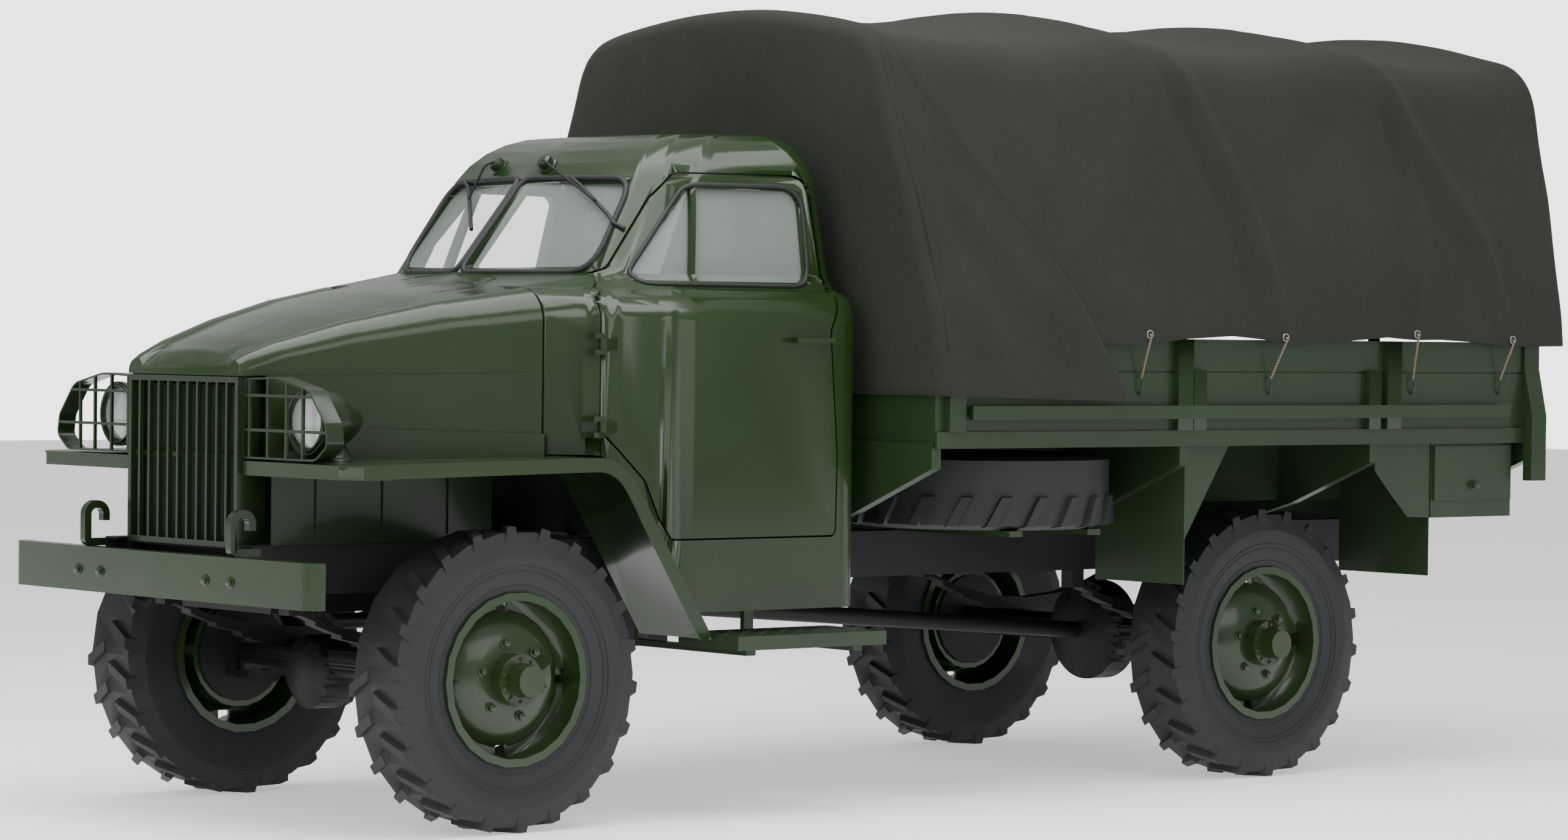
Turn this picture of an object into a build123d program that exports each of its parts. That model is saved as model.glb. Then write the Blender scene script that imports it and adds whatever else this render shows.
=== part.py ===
from build123d import *
import os
from math import atan2, cos, floor, pi, radians, sin, sqrt

# A light 4x4 military cargo truck with a bonneted cab and a canvas-covered bed.
# Lengths are in millimetres. +X is forward, +Y is the vehicle's left, +Z is up,
# and the origin lies on the ground under the middle of the bounding box.
# A value named "ahead" or "x" in a table is counted from the front axle, along +X.

# Main sizes
wheelbase = 3300.0
front_overhang = 780.0
rear_overhang = 1245.0
front_track = 1490.0
rear_track = 1510.0
tyre_radius = 475.0
tyre_width = 250.0
overall_length = front_overhang + wheelbase + rear_overhang
front_axle_x = overall_length / 2 - front_overhang
rear_axle_x = front_axle_x - wheelbase

# Clearances and stock thicknesses
seat_gap = 0.3
running_gap = 6.0
fit_gap = 0.5
sheet = 4.0
plate_steel = 8.0
overrun = 20.0

# Tyres and wheels
lug_count = 22
lug_depth = 22.0
lug_width = 50.0
lug_sweep = 60.0
lug_centre_gap = 6.0
lug_draft = 8.0
tread_half = 108.0
shoulder_radius = 398.0
bead_half = 101.0
bead_radius = 256.0
rim_sides = lug_count
shaft_sides = 12
rim_half = 113.0
rim_flange = 9.0
rim_flange_radius = 268.0
rim_inner_radius = 243.0
disc_y = 18.0
disc_thick = 12.0
dish_foot_radius = 212.0
dish_top_radius = 150.0
dish_rise = 57.0
hub_radius = 80.0
hub_y = 132.0
cap_radius = 54.0
cap_y = 190.0
drum_radius = 185.0
drum_y = -80.0
spindle_radius = 35.0
spindle_y = 85.0
hand_hole_count = 4
hand_hole_size = 44.0

# Front axle, knuckles and tie rod
axle_radius = 50.0
kingpin_y = 600.0
kingpin_radius = 16.0
kingpin_boss_radius = 38.0
kingpin_boss_height = 120.0
kingpin_gap = 0.3
knuckle_arm_thick = 24.0
knuckle_arm_half = 35.0
knuckle_web_y = 645.0
knuckle_web_thick = 10.0
knuckle_web_half = 55.0
backing_radius = 168.0
steer_arm_reach = 190.0
steer_arm_half = 15.0
steer_pin_radius = 12.0
tie_rod_radius = 14.0
tie_boss_radius = 22.0
tie_boss_height = 26.0
front_diff_y = -198.0
front_diff_radius = 120.0
front_diff_drop = 40.0
rear_diff_radius = 180.0
diff_half_width = 50.0
diff_nose_radius = 60.0
diff_nose_reach = 90.0

# Springs
spring_half_span = 520.0
spring_width = 56.0
spring_leaf = 12.0
spring_leaves = 4
spring_shortening_share = 0.19
front_spring_y = 350.0
rear_spring_y = 392.0
spring_eye_z = 690.0
spring_steps = 6

# Chassis frame
rail_top = 881.0
rail_height = 155.0
rail_flange = 65.0
rail_web = 7.0
rail_front_ahead = 704.0
rail_rear_ahead = -4440.0
rail_front_half = 385.0
rail_rear_half = 430.0
rail_taper_front = -300.0
rail_taper_rear = -620.0
cross_member_depth = 70.0
cross_member_height = 120.0
cross_member_ahead = [620.0, -1450.0, -2400.0, -3300.0]
hitch_plate_half = 110.0
hitch_plate_thick = 12.0
hitch_spacing_y = 120.0
hitch_spacing_z = 80.0
hitch_hole_radius = 9.0
cab_pad_half = 40.0
cab_pad_ahead = [-700.0, -1250.0]

# Front bumper and tow hooks
bumper_bottom = 708.0
bumper_top = 850.0
bumper_half = 848.0
bumper_end_ahead = 710.0
bumper_corner_ahead = 765.0
bumper_corner_radius = 50.0
bumper_bow_radius = 9000.0
bumper_flange = 50.0
bumper_steel = 8.0
hook_y = 415.0
hook_width = 28.0
hook_bar = 24.0
hook_rear_ahead = 660.0
hook_front_ahead = 758.0
hook_tip_ahead = 690.0
hook_height = 132.0
hook_tip_drop = 52.0
hook_bend = 32.0

# Grille and radiator
grille_ahead = 670.0
grille_half = 310.0
grille_bottom = rail_top - sheet - rail_web + seat_gap
grille_top = 1397.0
grille_edge = 18.0
grille_depth = 30.0
grille_bars = 10
grille_bar = 11.0
grille_bar_depth = 16.0
grille_tie_z = 1150.0
grille_tie = 8.0
radiator_front_ahead = 625.0
radiator_back_ahead = 565.0
radiator_half = 280.0
radiator_top = 1370.0

# Engine, transmission, exhaust and tank
engine_front_ahead = 500.0
engine_back_ahead = -190.0
engine_half = 250.0
engine_bottom = 660.0
engine_top = 1330.0
gearbox_back_ahead = -620.0
gearbox_half = 130.0
gearbox_top = 868.0
gearbox_bottom = 610.0
transfer_front_ahead = -880.0
transfer_back_ahead = -1180.0
transfer_right = -290.0
transfer_left = 130.0
transfer_top = 760.0
transfer_bottom = 500.0
shaft_radius = 30.0
muffler_radius = 70.0
muffler_front_ahead = -930.0
muffler_back_ahead = -1240.0
muffler_y = -530.0
muffler_z = 625.0
pipe_radius = 26.0
pipe_bend = 70.0
tank_front_ahead = -1690.0
tank_back_ahead = -2360.0
tank_inner_y = -470.0
tank_outer_y = -930.0
tank_bottom = 640.0
tank_top = 980.0
tank_round = 60.0
tank_strap = 36.0

# Bonnet: sections from the cab to the front lip
# columns: ahead, half width, bottom z, side top z, shoulder half width, shoulder z, crown z
hood_sections = [
    (-244.0, 648.0, 1421.0, 1575.0, 500.0, 1678.0, 1710.0),
    (40.0, 548.0, 1415.0, 1545.0, 420.0, 1632.0, 1663.0),
    (320.0, 444.0, 1408.0, 1500.0, 335.0, 1564.0, 1592.0),
    (540.0, 363.0, 1403.0, 1450.0, 272.0, 1494.0, 1519.0),
    (640.0, 326.0, 1401.0, 1418.0, 245.0, 1450.0, 1471.0),
    (668.0, 314.0, 1400.0, 1406.0, 236.0, 1423.0, 1433.0),
]
hood_sheet = 10.0

# Engine-bay side panels
side_panel_thick = 12.0
side_panel_step = 30.0
side_ledge_front_z = 1250.0
side_ledge_rear_z = 1222.0

# Front fenders and splash panels
fender_front_ahead = 653.0
fender_front_z = 1140.0
fender_knee_ahead = -384.0
fender_knee_z = 1158.0
fender_foot_ahead = -755.0
fender_foot_z = 575.0
fender_bend = 180.0
fender_sheet = 6.0
fender_lip = 44.0
fender_outer = 888.0
fender_corner = 50.0
fender_inner_front = 316.0
fender_inner = 396.0
fender_inner_rear = 520.0
fender_inner_turn_ahead = 420.0
splash_y = 396.0
splash_bottom = 905.0
splash_front_ahead = 600.0
splash_rear_ahead = -240.0
splash_rib = 14.0

# Headlamps and their guards
lamp_y = 532.0
lamp_z = 1266.0
lamp_face_ahead = 571.0
lamp_radius = 104.0
lens_radius = 86.0
lens_depth = 18.0
lamp_depth = 215.0
lamp_shell_share = 0.66
lamp_ring = 16.0
lamp_foot_top = 30.0
lamp_foot_bottom = 62.0
guard_ahead = 652.0
guard_depth = 62.0
guard_strip = 6.0
guard_rod = 9.0
# columns: y, z
guard_outline = [(316.3, 1394.0), (492.0, 1400.0), (665.0, 1365.0), (753.0, 1257.0),
                 (764.0, 1193.0), (700.0, 1147.4), (316.3, 1147.4)]
guard_corner_radii = [150.0, 80.0, 40.0, 30.0, 60.0]
guard_rod_y = [345.0, 444.0, 543.0, 631.0]
guard_rod_z = [1236.0, 1342.0]

# Cab: plan outlines from the sill to the roof
# columns: z, front x at the centre, front corner x and y, flare x and y, side x and y,
# rear half width, rear x, then the radii at front corner, flare, side and rear corner
cab_outlines = [
    (660.0, -246.0, -250.0, 650.0, -390.0, 785.0, -640.0, 850.0, 852.0, -1405.0,
     8.0, 240.0, 600.0, 80.0),
    (1590.0, -246.0, -250.0, 650.0, -390.0, 785.0, -640.0, 850.0, 852.0, -1405.0,
     8.0, 240.0, 600.0, 80.0),
    (1690.0, -248.0, -258.0, 510.0, -420.0, 640.0, -670.0, 712.0, 760.0, -1403.0,
     20.0, 200.0, 500.0, 80.0),
    (1736.0, -386.0, -540.0, 558.0, -612.0, 616.0, -752.0, 674.0, 730.0, -1400.0,
     40.0, 120.0, 300.0, 80.0),
    (2052.0, -650.0, -738.0, 492.0, -800.0, 548.0, -920.0, 594.0, 672.0, -1392.0,
     40.0, 90.0, 250.0, 80.0),
    (2202.0, -985.0, -1005.0, 330.0, -1045.0, 385.0, -1130.0, 430.0, 505.0, -1320.0,
     40.0, 60.0, 150.0, 80.0),
]
cab_wall = 42.0
cab_roof_wall = 30.0
cab_shoulder_steps = 4
cab_shoulder_lean = 0.0
cab_roof_steps = 5
cab_roof_lean = 30.0
cab_glass_inset = 16.0
cab_glass_thick = 6.0
screen_inset = 7.0
screen_thick = 5.0
cab_floor_z = 897.5
cab_floor_thick = 15.0
cab_toe_ahead = -568.0
cab_toe_top_ahead = -400.0
cab_toe_top_z = 1174.0
cab_rear_cut_half = 470.0
cab_rear_cut_top = 884.0
# columns: y, z of one windscreen pane, and its corner radii
windscreen_pane = [(26.0, 1750.0), (506.0, 1756.0), (470.0, 2028.0), (26.0, 2033.0)]
windscreen_radii = [14.0, 50.0, 50.0, 14.0]
rear_pane_half = 250.0
rear_pane_bottom = 1790.0
rear_pane_top = 2000.0
rear_pane_radius = 50.0
# columns: x, z of the door's edge seen from its side, and the corner radii
door_outline = [(-385.0, 1650.0), (-565.0, 1752.0), (-745.0, 1980.0), (-838.0, 2062.0),
                (-1310.0, 2062.0), (-1324.0, 1700.0), (-1262.0, 1560.0), (-1295.0, 1157.0),
                (-1290.0, 896.0), (-618.0, 896.0), (-575.0, 960.0), (-528.0, 1080.0),
                (-385.0, 1235.0)]
door_corner_radii = [40.0, 30.0, 40.0, 60.0, 60.0, 60.0, 60.0, 200.0,
                     20.0, 20.0, 60.0, 60.0, 40.0]
door_window = [(-592.0, 1714.0), (-868.0, 2014.0), (-1276.0, 2014.0), (-1262.0, 1714.0)]
door_window_radii = [24.0, 30.0, 50.0, 44.0]
vent_post_bottom_ahead = -812.0
vent_post_top_ahead = -896.0
vent_post = 18.0
door_relief = 8.0
door_hinge_ahead = -374.0
door_hinge_y = 792.0
door_hinge_z = [1250.0, 1510.0]
hinge_half = 34.0
hinge_knuckle_radius = 13.0
hinge_pin_radius = 6.0
hinge_pin_gap = 0.3
handle_z = 1528.0
handle_front_ahead = -1090.0
handle_back_ahead = -1250.0
handle_bar = 16.0
handle_stand_off = 40.0

# Cab fittings
seat_front_ahead = -850.0
seat_back_ahead = -1320.0
seat_half = 640.0
seat_base_top = 1120.0
seat_top = 1270.0
seat_rest_thick = 110.0
seat_rest_top = 1740.0
dash_back_ahead = -455.0
dash_half = 480.0
dash_bottom = 1500.0
dash_top = 1634.0
steering_y = 330.0
steering_ahead = -700.0
steering_z = 1560.0
steering_tilt = 35.0
steering_wheel_radius = 205.0
steering_rim = 24.0
steering_column_length = 482.8
steering_column_radius = 20.0
steering_spoke = 16.0

# Steps
step_front_ahead = -764.0
step_rear_ahead = -1390.0
step_inner = 700.0
step_outer = 1000.0
step_top = 590.0
step_thick = 45.0
step_bracket = 40.0
step_bracket_ahead = [-850.0, -1300.0]

# Cargo bed
bed_front_ahead = -1500.0
bed_rear_ahead = -4445.0
bed_half = 1100.0
bed_floor_z = 1200.0
bed_floor_thick = 22.0
bed_side_top = 1545.0
bed_board = 25.0
bed_seam_z = 1434.0
bed_seam = 6.0
bed_rail_bottom = 1181.0
bed_rail_top = 1235.0
bed_rail_thick = 10.0
bearer_depth = 40.0
bearer_ahead = [-1492.0, -2628.0, -3577.0, -4398.0]
# columns: half y, z of a bearer's sloping lower edge
bearer_outline = [(1095.0, 1115.0), (719.0, 961.0), (440.0, 881.3)]
post_width = 72.0
post_thick = 24.0
post_ahead = [-1580.0, -2626.0, -3671.0]
pocket_width = 60.0
pocket_ahead = [-2696.0, -3570.0]
side_rail_front_ahead = -1630.0
side_rail_rear_ahead = -4271.0
side_rail_bottom = 1275.0
side_rail_top = 1320.0
side_rail_thick = 18.0
corner_post_front_ahead = -4380.0
corner_post_rear_ahead = -4460.0
# columns: y, z of the corner post's outer edge
corner_post_outer = [(1150.0, 1044.0), (1150.0, 1281.0), (1112.0, 1449.0), (1112.0, 1545.0)]
tailgate_thick = 22.0
tailgate_half = 1072.0
tailgate_top = 1540.0
tailgate_rib = 10.0

# Rear mudguards and lockers
flap_bottom = 708.0
flap_inner = 650.0
flap_outer = 1080.0
guard_panel_bottom = 969.0
guard_rear_ahead = -3905.0
# columns: x, z of the outer gussets
gusset_front = [(-2672.0, 1199.0), (-2893.0, 1199.0), (-2672.0, 863.0)]
gusset_rear = [(-3621.0, 1199.0), (-3621.0, 1088.0), (-3795.0, 920.0), (-3909.0, 915.0),
               (-3909.0, 1199.0)]
locker_front_ahead = -3914.0
locker_rear_ahead = -4345.0
locker_inner = 640.0
locker_outer = 1092.0
locker_bottom = 915.0
locker_wall = 10.0
lid_bottom = 976.0
lid_top = 1172.0
lid_rebate = 14.0

# Spare wheel carrier
spare_ahead = -2140.0
spare_y = 600.0
spare_carrier_ahead = [-1960.0, -2320.0]
spare_carrier_bar = 60.0
spare_carrier_height = 20.0
spare_carrier_outer = 1000.0

# Canopy: arched sections from the cab to the tail
# columns: ahead, crown z, roof half width, roof z, corner half width, corner z,
# middle half width, middle z, hem half width, hem z
canopy_sections = [
    (-1498.0, 2640.0, 640.0, 2578.0, 818.0, 2400.0, 1136.0, 1610.0, 1138.0, 1500.0),
    (-2040.0, 2630.0, 690.0, 2545.0, 890.0, 2380.0, 1137.0, 1625.0, 1140.0, 1516.0),
    (-2575.0, 2696.0, 780.0, 2590.0, 985.0, 2415.0, 1138.0, 1640.0, 1142.0, 1530.0),
    (-3100.0, 2652.0, 770.0, 2550.0, 976.0, 2385.0, 1139.0, 1640.0, 1146.0, 1530.0),
    (-3630.0, 2700.0, 800.0, 2590.0, 1000.0, 2415.0, 1142.0, 1640.0, 1149.0, 1530.0),
    (-4090.0, 2656.0, 782.0, 2552.0, 986.0, 2388.0, 1142.0, 1640.0, 1149.0, 1530.0),
    (-4545.0, 2692.0, 795.0, 2582.0, 998.0, 2410.0, 1142.0, 1640.0, 1149.0, 1530.0),
]
canopy_corner_share = 0.72
canopy_thick = 10.0
canopy_front_bottom = 1352.0
canopy_split_z = 2370.0
flap_edge = [(-1498.0, 1352.0), (-2365.0, 1372.0), (-2255.0, 1499.7), (-1498.0, 1499.7)]
flap_cloth_y = 1128.0
bow_bar = 30.0
bow_stations = [0, 2, 4, 6]
bow_inset_ahead = 52.0
bow_foot_z = 1222.3


def at(ahead):
    """Give the X of a place counted from the front axle."""
    return front_axle_x + ahead


def block(x, y, z, mode=Mode.ADD):
    """Add a box that spans three (low, high) pairs."""
    with Locations(((x[0] + x[1]) / 2, (y[0] + y[1]) / 2, (z[0] + z[1]) / 2)):
        Box(abs(x[1] - x[0]), abs(y[1] - y[0]), abs(z[1] - z[0]), mode=mode)


def side_plane(y):
    """Give a plane whose first axis is X and second is Z, facing the right side."""
    return Plane(origin=(0, y, 0), x_dir=(1, 0, 0), z_dir=(0, -1, 0))


def front_plane(x):
    """Give a plane whose first axis is Y and second is Z, facing forward."""
    return Plane(origin=(x, 0, 0), x_dir=(0, 1, 0), z_dir=(1, 0, 0))


def outline(plane, points, radii=0.0):
    """Draw a closed outline with rounded corners and give its sketch."""
    with BuildSketch(plane) as drawn:
        with BuildLine():
            FilletPolyline(*points, radius=radii, close=True)
        make_face()
    return drawn.sketch


def bar(plane, points, radii, width):
    """Draw a strip of one width along a bent line and give its sketch."""
    with BuildSketch(plane) as drawn:
        with BuildLine() as path:
            FilletPolyline(*points, radius=radii)
        trace(path.line, line_width=width)
    return drawn.sketch


def ring(y, radius, sides):
    """Draw a regular polygon about the Y axis, flats at the given radius."""
    with BuildSketch(side_plane(y)) as drawn:
        RegularPolygon(radius, sides, major_radius=False)
    return drawn.sketch


def turned(stations, sides, mode=Mode.ADD):
    """Stack polygon rings, given as (y, radius) pairs, into one faceted body."""
    loft([ring(y, radius, sides) for y, radius in stations], ruled=True, mode=mode)


def save(piece, name):
    """Label a piece and write it as its own file."""
    piece.label = name
    export_step(piece, f"parts/{name}.step")


os.makedirs("parts", exist_ok=True)

# Tyre, about its own centre, with its axis along Y


def lug_planes(shift):
    """Give one plane for each lug, tangent to the carcass inside its tread."""
    planes = []
    for number in range(lug_count):
        turn = 2 * pi * (number + shift) / lug_count
        radial = (sin(turn), 0, -cos(turn))
        tangent = (-cos(turn), 0, -sin(turn))
        planes.append(Plane(origin=tuple(lug_root * part for part in radial),
                            x_dir=tangent, z_dir=radial))
    return planes


lug_root = tyre_radius - lug_depth - (tyre_width / 2 - tread_half) * 2
lug_reach = (lug_sweep + lug_width) / 2 - lug_depth * sin(radians(lug_draft))
lug_height = sqrt(tyre_radius ** 2 - lug_reach ** 2) - lug_root
lug_outer = tread_half + (tyre_width / 2 - tread_half) * 0.6
tread_radius = tyre_radius - lug_depth

with BuildPart() as tyre:
    turned([(-tyre_width / 2, shoulder_radius), (-tread_half, tread_radius),
            (tread_half, tread_radius), (tyre_width / 2, shoulder_radius)], lug_count)
    turned([(-bead_half, bead_radius), (bead_half, bead_radius)], lug_count, Mode.SUBTRACT)
    for side in (-1, 1):
        turned([(side * bead_half, bead_radius),
                (side * tyre_width / 2, shoulder_radius - lug_depth)],
               lug_count, Mode.SUBTRACT)
    for side, shift in ((1, 0.0), (-1, 0.5)):
        with BuildSketch(*lug_planes(shift)) as lugs:
            with BuildLine():
                Polyline((-(lug_sweep + lug_width) / 2, side * lug_centre_gap),
                         (-(lug_sweep - lug_width) / 2, side * lug_centre_gap),
                         ((lug_sweep + lug_width) / 2, side * lug_outer),
                         ((lug_sweep - lug_width) / 2, side * lug_outer),
                         close=True)
            make_face()
        extrude(amount=lug_height, taper=lug_draft)

# Rim, about its own centre, with its outer face towards +Y


def rim_shell():
    """Add the rim barrel, its flanges and the dished disc to the open part."""
    turned([(-rim_half, bead_radius - fit_gap), (rim_half, bead_radius - fit_gap)], rim_sides)
    for side in (-1, 1):
        turned([(side * (rim_half - rim_flange), rim_flange_radius),
                (side * rim_half, rim_flange_radius)], rim_sides)
    turned([(-rim_half, rim_inner_radius), (disc_y, rim_inner_radius)],
           rim_sides, Mode.SUBTRACT)
    turned([(disc_y + disc_thick, rim_inner_radius), (rim_half, rim_inner_radius)],
           rim_sides, Mode.SUBTRACT)
    turned([(disc_y + disc_thick, dish_foot_radius),
            (disc_y + disc_thick + dish_rise, dish_top_radius)], rim_sides)
    turned([(disc_y, dish_foot_radius - disc_thick),
            (disc_y + dish_rise, dish_top_radius - disc_thick)], rim_sides, Mode.SUBTRACT)
    hole_radius = (dish_foot_radius + rim_inner_radius) / 2
    for number in range(hand_hole_count):
        turn = 2 * pi * number / hand_hole_count
        with Locations((hole_radius * sin(turn), disc_y + disc_thick / 2,
                        hole_radius * cos(turn))):
            Box(hand_hole_size, disc_thick * 2, hand_hole_size, mode=Mode.SUBTRACT)


with BuildPart() as rim:
    rim_shell()

with BuildPart() as hub_rim:
    rim_shell()
    turned([(drum_y, drum_radius), (disc_y, drum_radius)], rim_sides)
    turned([(disc_y, hub_radius), (hub_y, hub_radius)], rim_sides)
    turned([(hub_y, cap_radius), (cap_y, cap_radius * 0.9)], rim_sides)
    with BuildSketch(side_plane(drum_y)) as bore:
        Circle(spindle_radius + fit_gap)
    extrude(bore.sketch, amount=drum_y - spindle_y - fit_gap, mode=Mode.SUBTRACT)

# columns: name, ahead, y of the wheel's middle plane
wheel_places = [
    ("front_left", 0.0, front_track / 2),
    ("front_right", 0.0, -front_track / 2),
    ("rear_left", -wheelbase, rear_track / 2),
    ("rear_right", -wheelbase, -rear_track / 2),
]
for name, ahead, y in wheel_places:
    place = (at(ahead), y, tyre_radius)
    turn = 0 if y > 0 else 180
    save(tyre.part.moved(Location(place)), f"tyre_{name}")
    save(hub_rim.part.moved(Location(place, (0, 0, turn))), f"rim_{name}")

spare_z = rail_top + seat_gap + spare_carrier_height + seat_gap + tyre_width / 2
spare_place = Location((at(spare_ahead), spare_y, spare_z), (-90, 0, 0))
save(tyre.part.moved(spare_place), "tyre_spare")
save(rim.part.moved(spare_place), "rim_spare")

# Front axle


def differential(x, y, z, radius):
    """Add a differential casing: a drum about X with a tapered nose each way."""
    casing = [(-diff_nose_reach - diff_half_width, 0),
              (-diff_nose_reach - diff_half_width, diff_nose_radius),
              (-diff_half_width, radius),
              (diff_half_width, radius),
              (diff_half_width + diff_nose_reach / 2, radius * 0.55),
              (diff_half_width + diff_nose_reach / 2, 0)]
    plane = Plane(origin=(x, y, z), x_dir=(1, 0, 0), z_dir=(0, -1, 0))
    with BuildSketch(plane) as half:
        with BuildLine():
            Polyline(*casing, close=True)
        make_face()
    revolve(half.sketch, axis=Axis((x, y, z), (1, 0, 0)))


with BuildPart() as front_axle:
    with BuildSketch(side_plane(kingpin_y)) as tube:
        with Locations((front_axle_x, tyre_radius)):
            Circle(axle_radius)
    extrude(tube.sketch, amount=2 * kingpin_y)
    with Locations(*[(front_axle_x, side * kingpin_y, tyre_radius) for side in (-1, 1)]):
        Cylinder(kingpin_boss_radius, kingpin_boss_height)
        Cylinder(kingpin_radius + kingpin_gap, kingpin_boss_height * 2, mode=Mode.SUBTRACT)
    differential(front_axle_x, front_diff_y, tyre_radius - front_diff_drop,
                 front_diff_radius)
save(front_axle.part, "front_axle")

# Steering knuckle, made for the left and mirrored to the right
arm_z = kingpin_boss_height / 2 + kingpin_gap
knuckle_half = arm_z + knuckle_arm_thick
spindle_end = front_track / 2 + spindle_y
backing_y = knuckle_web_y + knuckle_web_thick
steer_arm_x = (front_axle_x - steer_arm_reach - tie_boss_radius, front_axle_x)

with BuildPart() as knuckle:
    for side in (-1, 1):
        block((front_axle_x - knuckle_arm_half, front_axle_x + knuckle_arm_half),
              (kingpin_y - knuckle_arm_half, backing_y),
              (tyre_radius + side * arm_z, tyre_radius + side * knuckle_half))
    block((front_axle_x - knuckle_web_half, front_axle_x + knuckle_web_half),
          (knuckle_web_y, backing_y),
          (tyre_radius - knuckle_half, tyre_radius + knuckle_half))
    with Locations((front_axle_x, kingpin_y, tyre_radius)):
        Cylinder(kingpin_radius, 2 * knuckle_half)
    block(steer_arm_x, (kingpin_y - steer_arm_half, kingpin_y + steer_arm_half),
          (tyre_radius - knuckle_half, tyre_radius - arm_z))
    with Locations((front_axle_x - steer_arm_reach, kingpin_y, tyre_radius)):
        Cylinder(steer_pin_radius + kingpin_gap, 4 * knuckle_half, mode=Mode.SUBTRACT)
    with BuildSketch(side_plane(backing_y)) as backing:
        with Locations((front_axle_x, tyre_radius)):
            RegularPolygon(backing_radius, rim_sides)
    extrude(backing.sketch, amount=-sheet)
    with BuildSketch(side_plane(backing_y)) as spindle:
        with Locations((front_axle_x, tyre_radius)):
            Circle(spindle_radius)
    extrude(spindle.sketch, amount=backing_y - spindle_end)
save(knuckle.part, "knuckle_left")
save(mirror(knuckle.part, about=Plane.XZ), "knuckle_right")

# Tie rod, with a pin up through each steering arm
tie_top = tyre_radius - knuckle_half - running_gap
tie_x = front_axle_x - steer_arm_reach
with BuildPart() as tie_rod:
    with BuildSketch(side_plane(kingpin_y)) as rod:
        with Locations((tie_x, tie_top - tie_boss_height / 2)):
            RegularPolygon(tie_rod_radius, shaft_sides)
    extrude(rod.sketch, amount=2 * kingpin_y)
    for side in (-1, 1):
        with Locations((tie_x, side * kingpin_y, tie_top - tie_boss_height / 2)):
            Cylinder(tie_boss_radius, tie_boss_height)
        pin_top = tyre_radius - arm_z
        with Locations((tie_x, side * kingpin_y, (tie_top + pin_top) / 2 - overrun / 4)):
            Cylinder(steer_pin_radius, pin_top - tie_top + overrun / 2)
save(tie_rod.part, "tie_rod")

# Rear axle
rear_spindle_y = rear_track / 2 + spindle_y
rear_tube_y = rear_track / 2 + drum_y - running_gap
with BuildPart() as rear_axle:
    with BuildSketch(side_plane(rear_tube_y)) as tube:
        with Locations((rear_axle_x, tyre_radius)):
            Circle(axle_radius)
    extrude(tube.sketch, amount=2 * rear_tube_y)
    with BuildSketch(side_plane(rear_spindle_y)) as spindle:
        with Locations((rear_axle_x, tyre_radius)):
            Circle(spindle_radius)
    extrude(spindle.sketch, amount=2 * rear_spindle_y)
    for side in (-1, 1):
        with BuildSketch(side_plane(side * rear_tube_y)) as backing:
            with Locations((rear_axle_x, tyre_radius)):
                RegularPolygon(backing_radius, rim_sides)
        extrude(backing.sketch, amount=side * sheet)
    differential(rear_axle_x, 0, tyre_radius, rear_diff_radius)
save(rear_axle.part, "rear_axle")

# Leaf springs, each leaf a shallow curve of short straight steps
spring_step = 2 * spring_half_span / spring_steps


def leaf_rise(along):
    """Give the share of its full rise that a leaf has at a place, by straight steps."""
    low = floor(along / spring_step) * spring_step
    ends = [(x / spring_half_span) ** 2 for x in (low, low + spring_step)]
    return ends[0] + (ends[1] - ends[0]) * (along - low) / spring_step


with BuildPart() as springs:
    for axle_x, spring_y in ((front_axle_x, front_spring_y), (rear_axle_x, rear_spring_y)):
        seat_z = tyre_radius + axle_radius + seat_gap
        for leaf in range(spring_leaves):
            half = spring_half_span * (1 - spring_shortening_share * leaf)
            top_z = seat_z + spring_leaf * (spring_leaves - leaf)
            rise = spring_eye_z - seat_z - spring_leaf * spring_leaves
            bends = [spring_step * step - spring_half_span for step in range(spring_steps + 1)]
            places = [-half] + [bend for bend in bends if abs(bend) < half] + [half]
            curve = [(along, rise * leaf_rise(along)) for along in places]
            lap = fit_gap if leaf else 0
            upper = [(axle_x + x, top_z + lap + z) for x, z in curve]
            lower = [(axle_x + x, top_z - spring_leaf + z) for x, z in reversed(curve)]
            drawn = outline(side_plane(spring_y + spring_width / 2), upper + lower)
            extrude(drawn, amount=spring_width)
        for end in (-1, 1):
            eye_x = axle_x + end * (spring_half_span - spring_width / 2)
            block((eye_x - spring_width / 2, eye_x + spring_width / 2),
                  (spring_y - spring_width / 2, spring_y + spring_width / 2),
                  (spring_eye_z - spring_width / 2, rail_top - rail_height - seat_gap))
    mirror(about=Plane.XZ)
save(springs.part, "leaf_springs")

# Chassis frame: two channel rails with cross members, cab pads and a hitch plate
rail_bottom = rail_top - rail_height
rail_line = [(at(rail_front_ahead), rail_front_half), (at(rail_taper_front), rail_front_half),
             (at(rail_taper_rear), rail_rear_half), (at(rail_rear_ahead), rail_rear_half)]


def rail_strip(width):
    """Give a rail's plan outline, from its outer face inwards."""
    inner = [(x, y - width) for x, y in reversed(rail_line)]
    return outline(Plane.XY.offset(rail_bottom), rail_line + inner)


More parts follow.
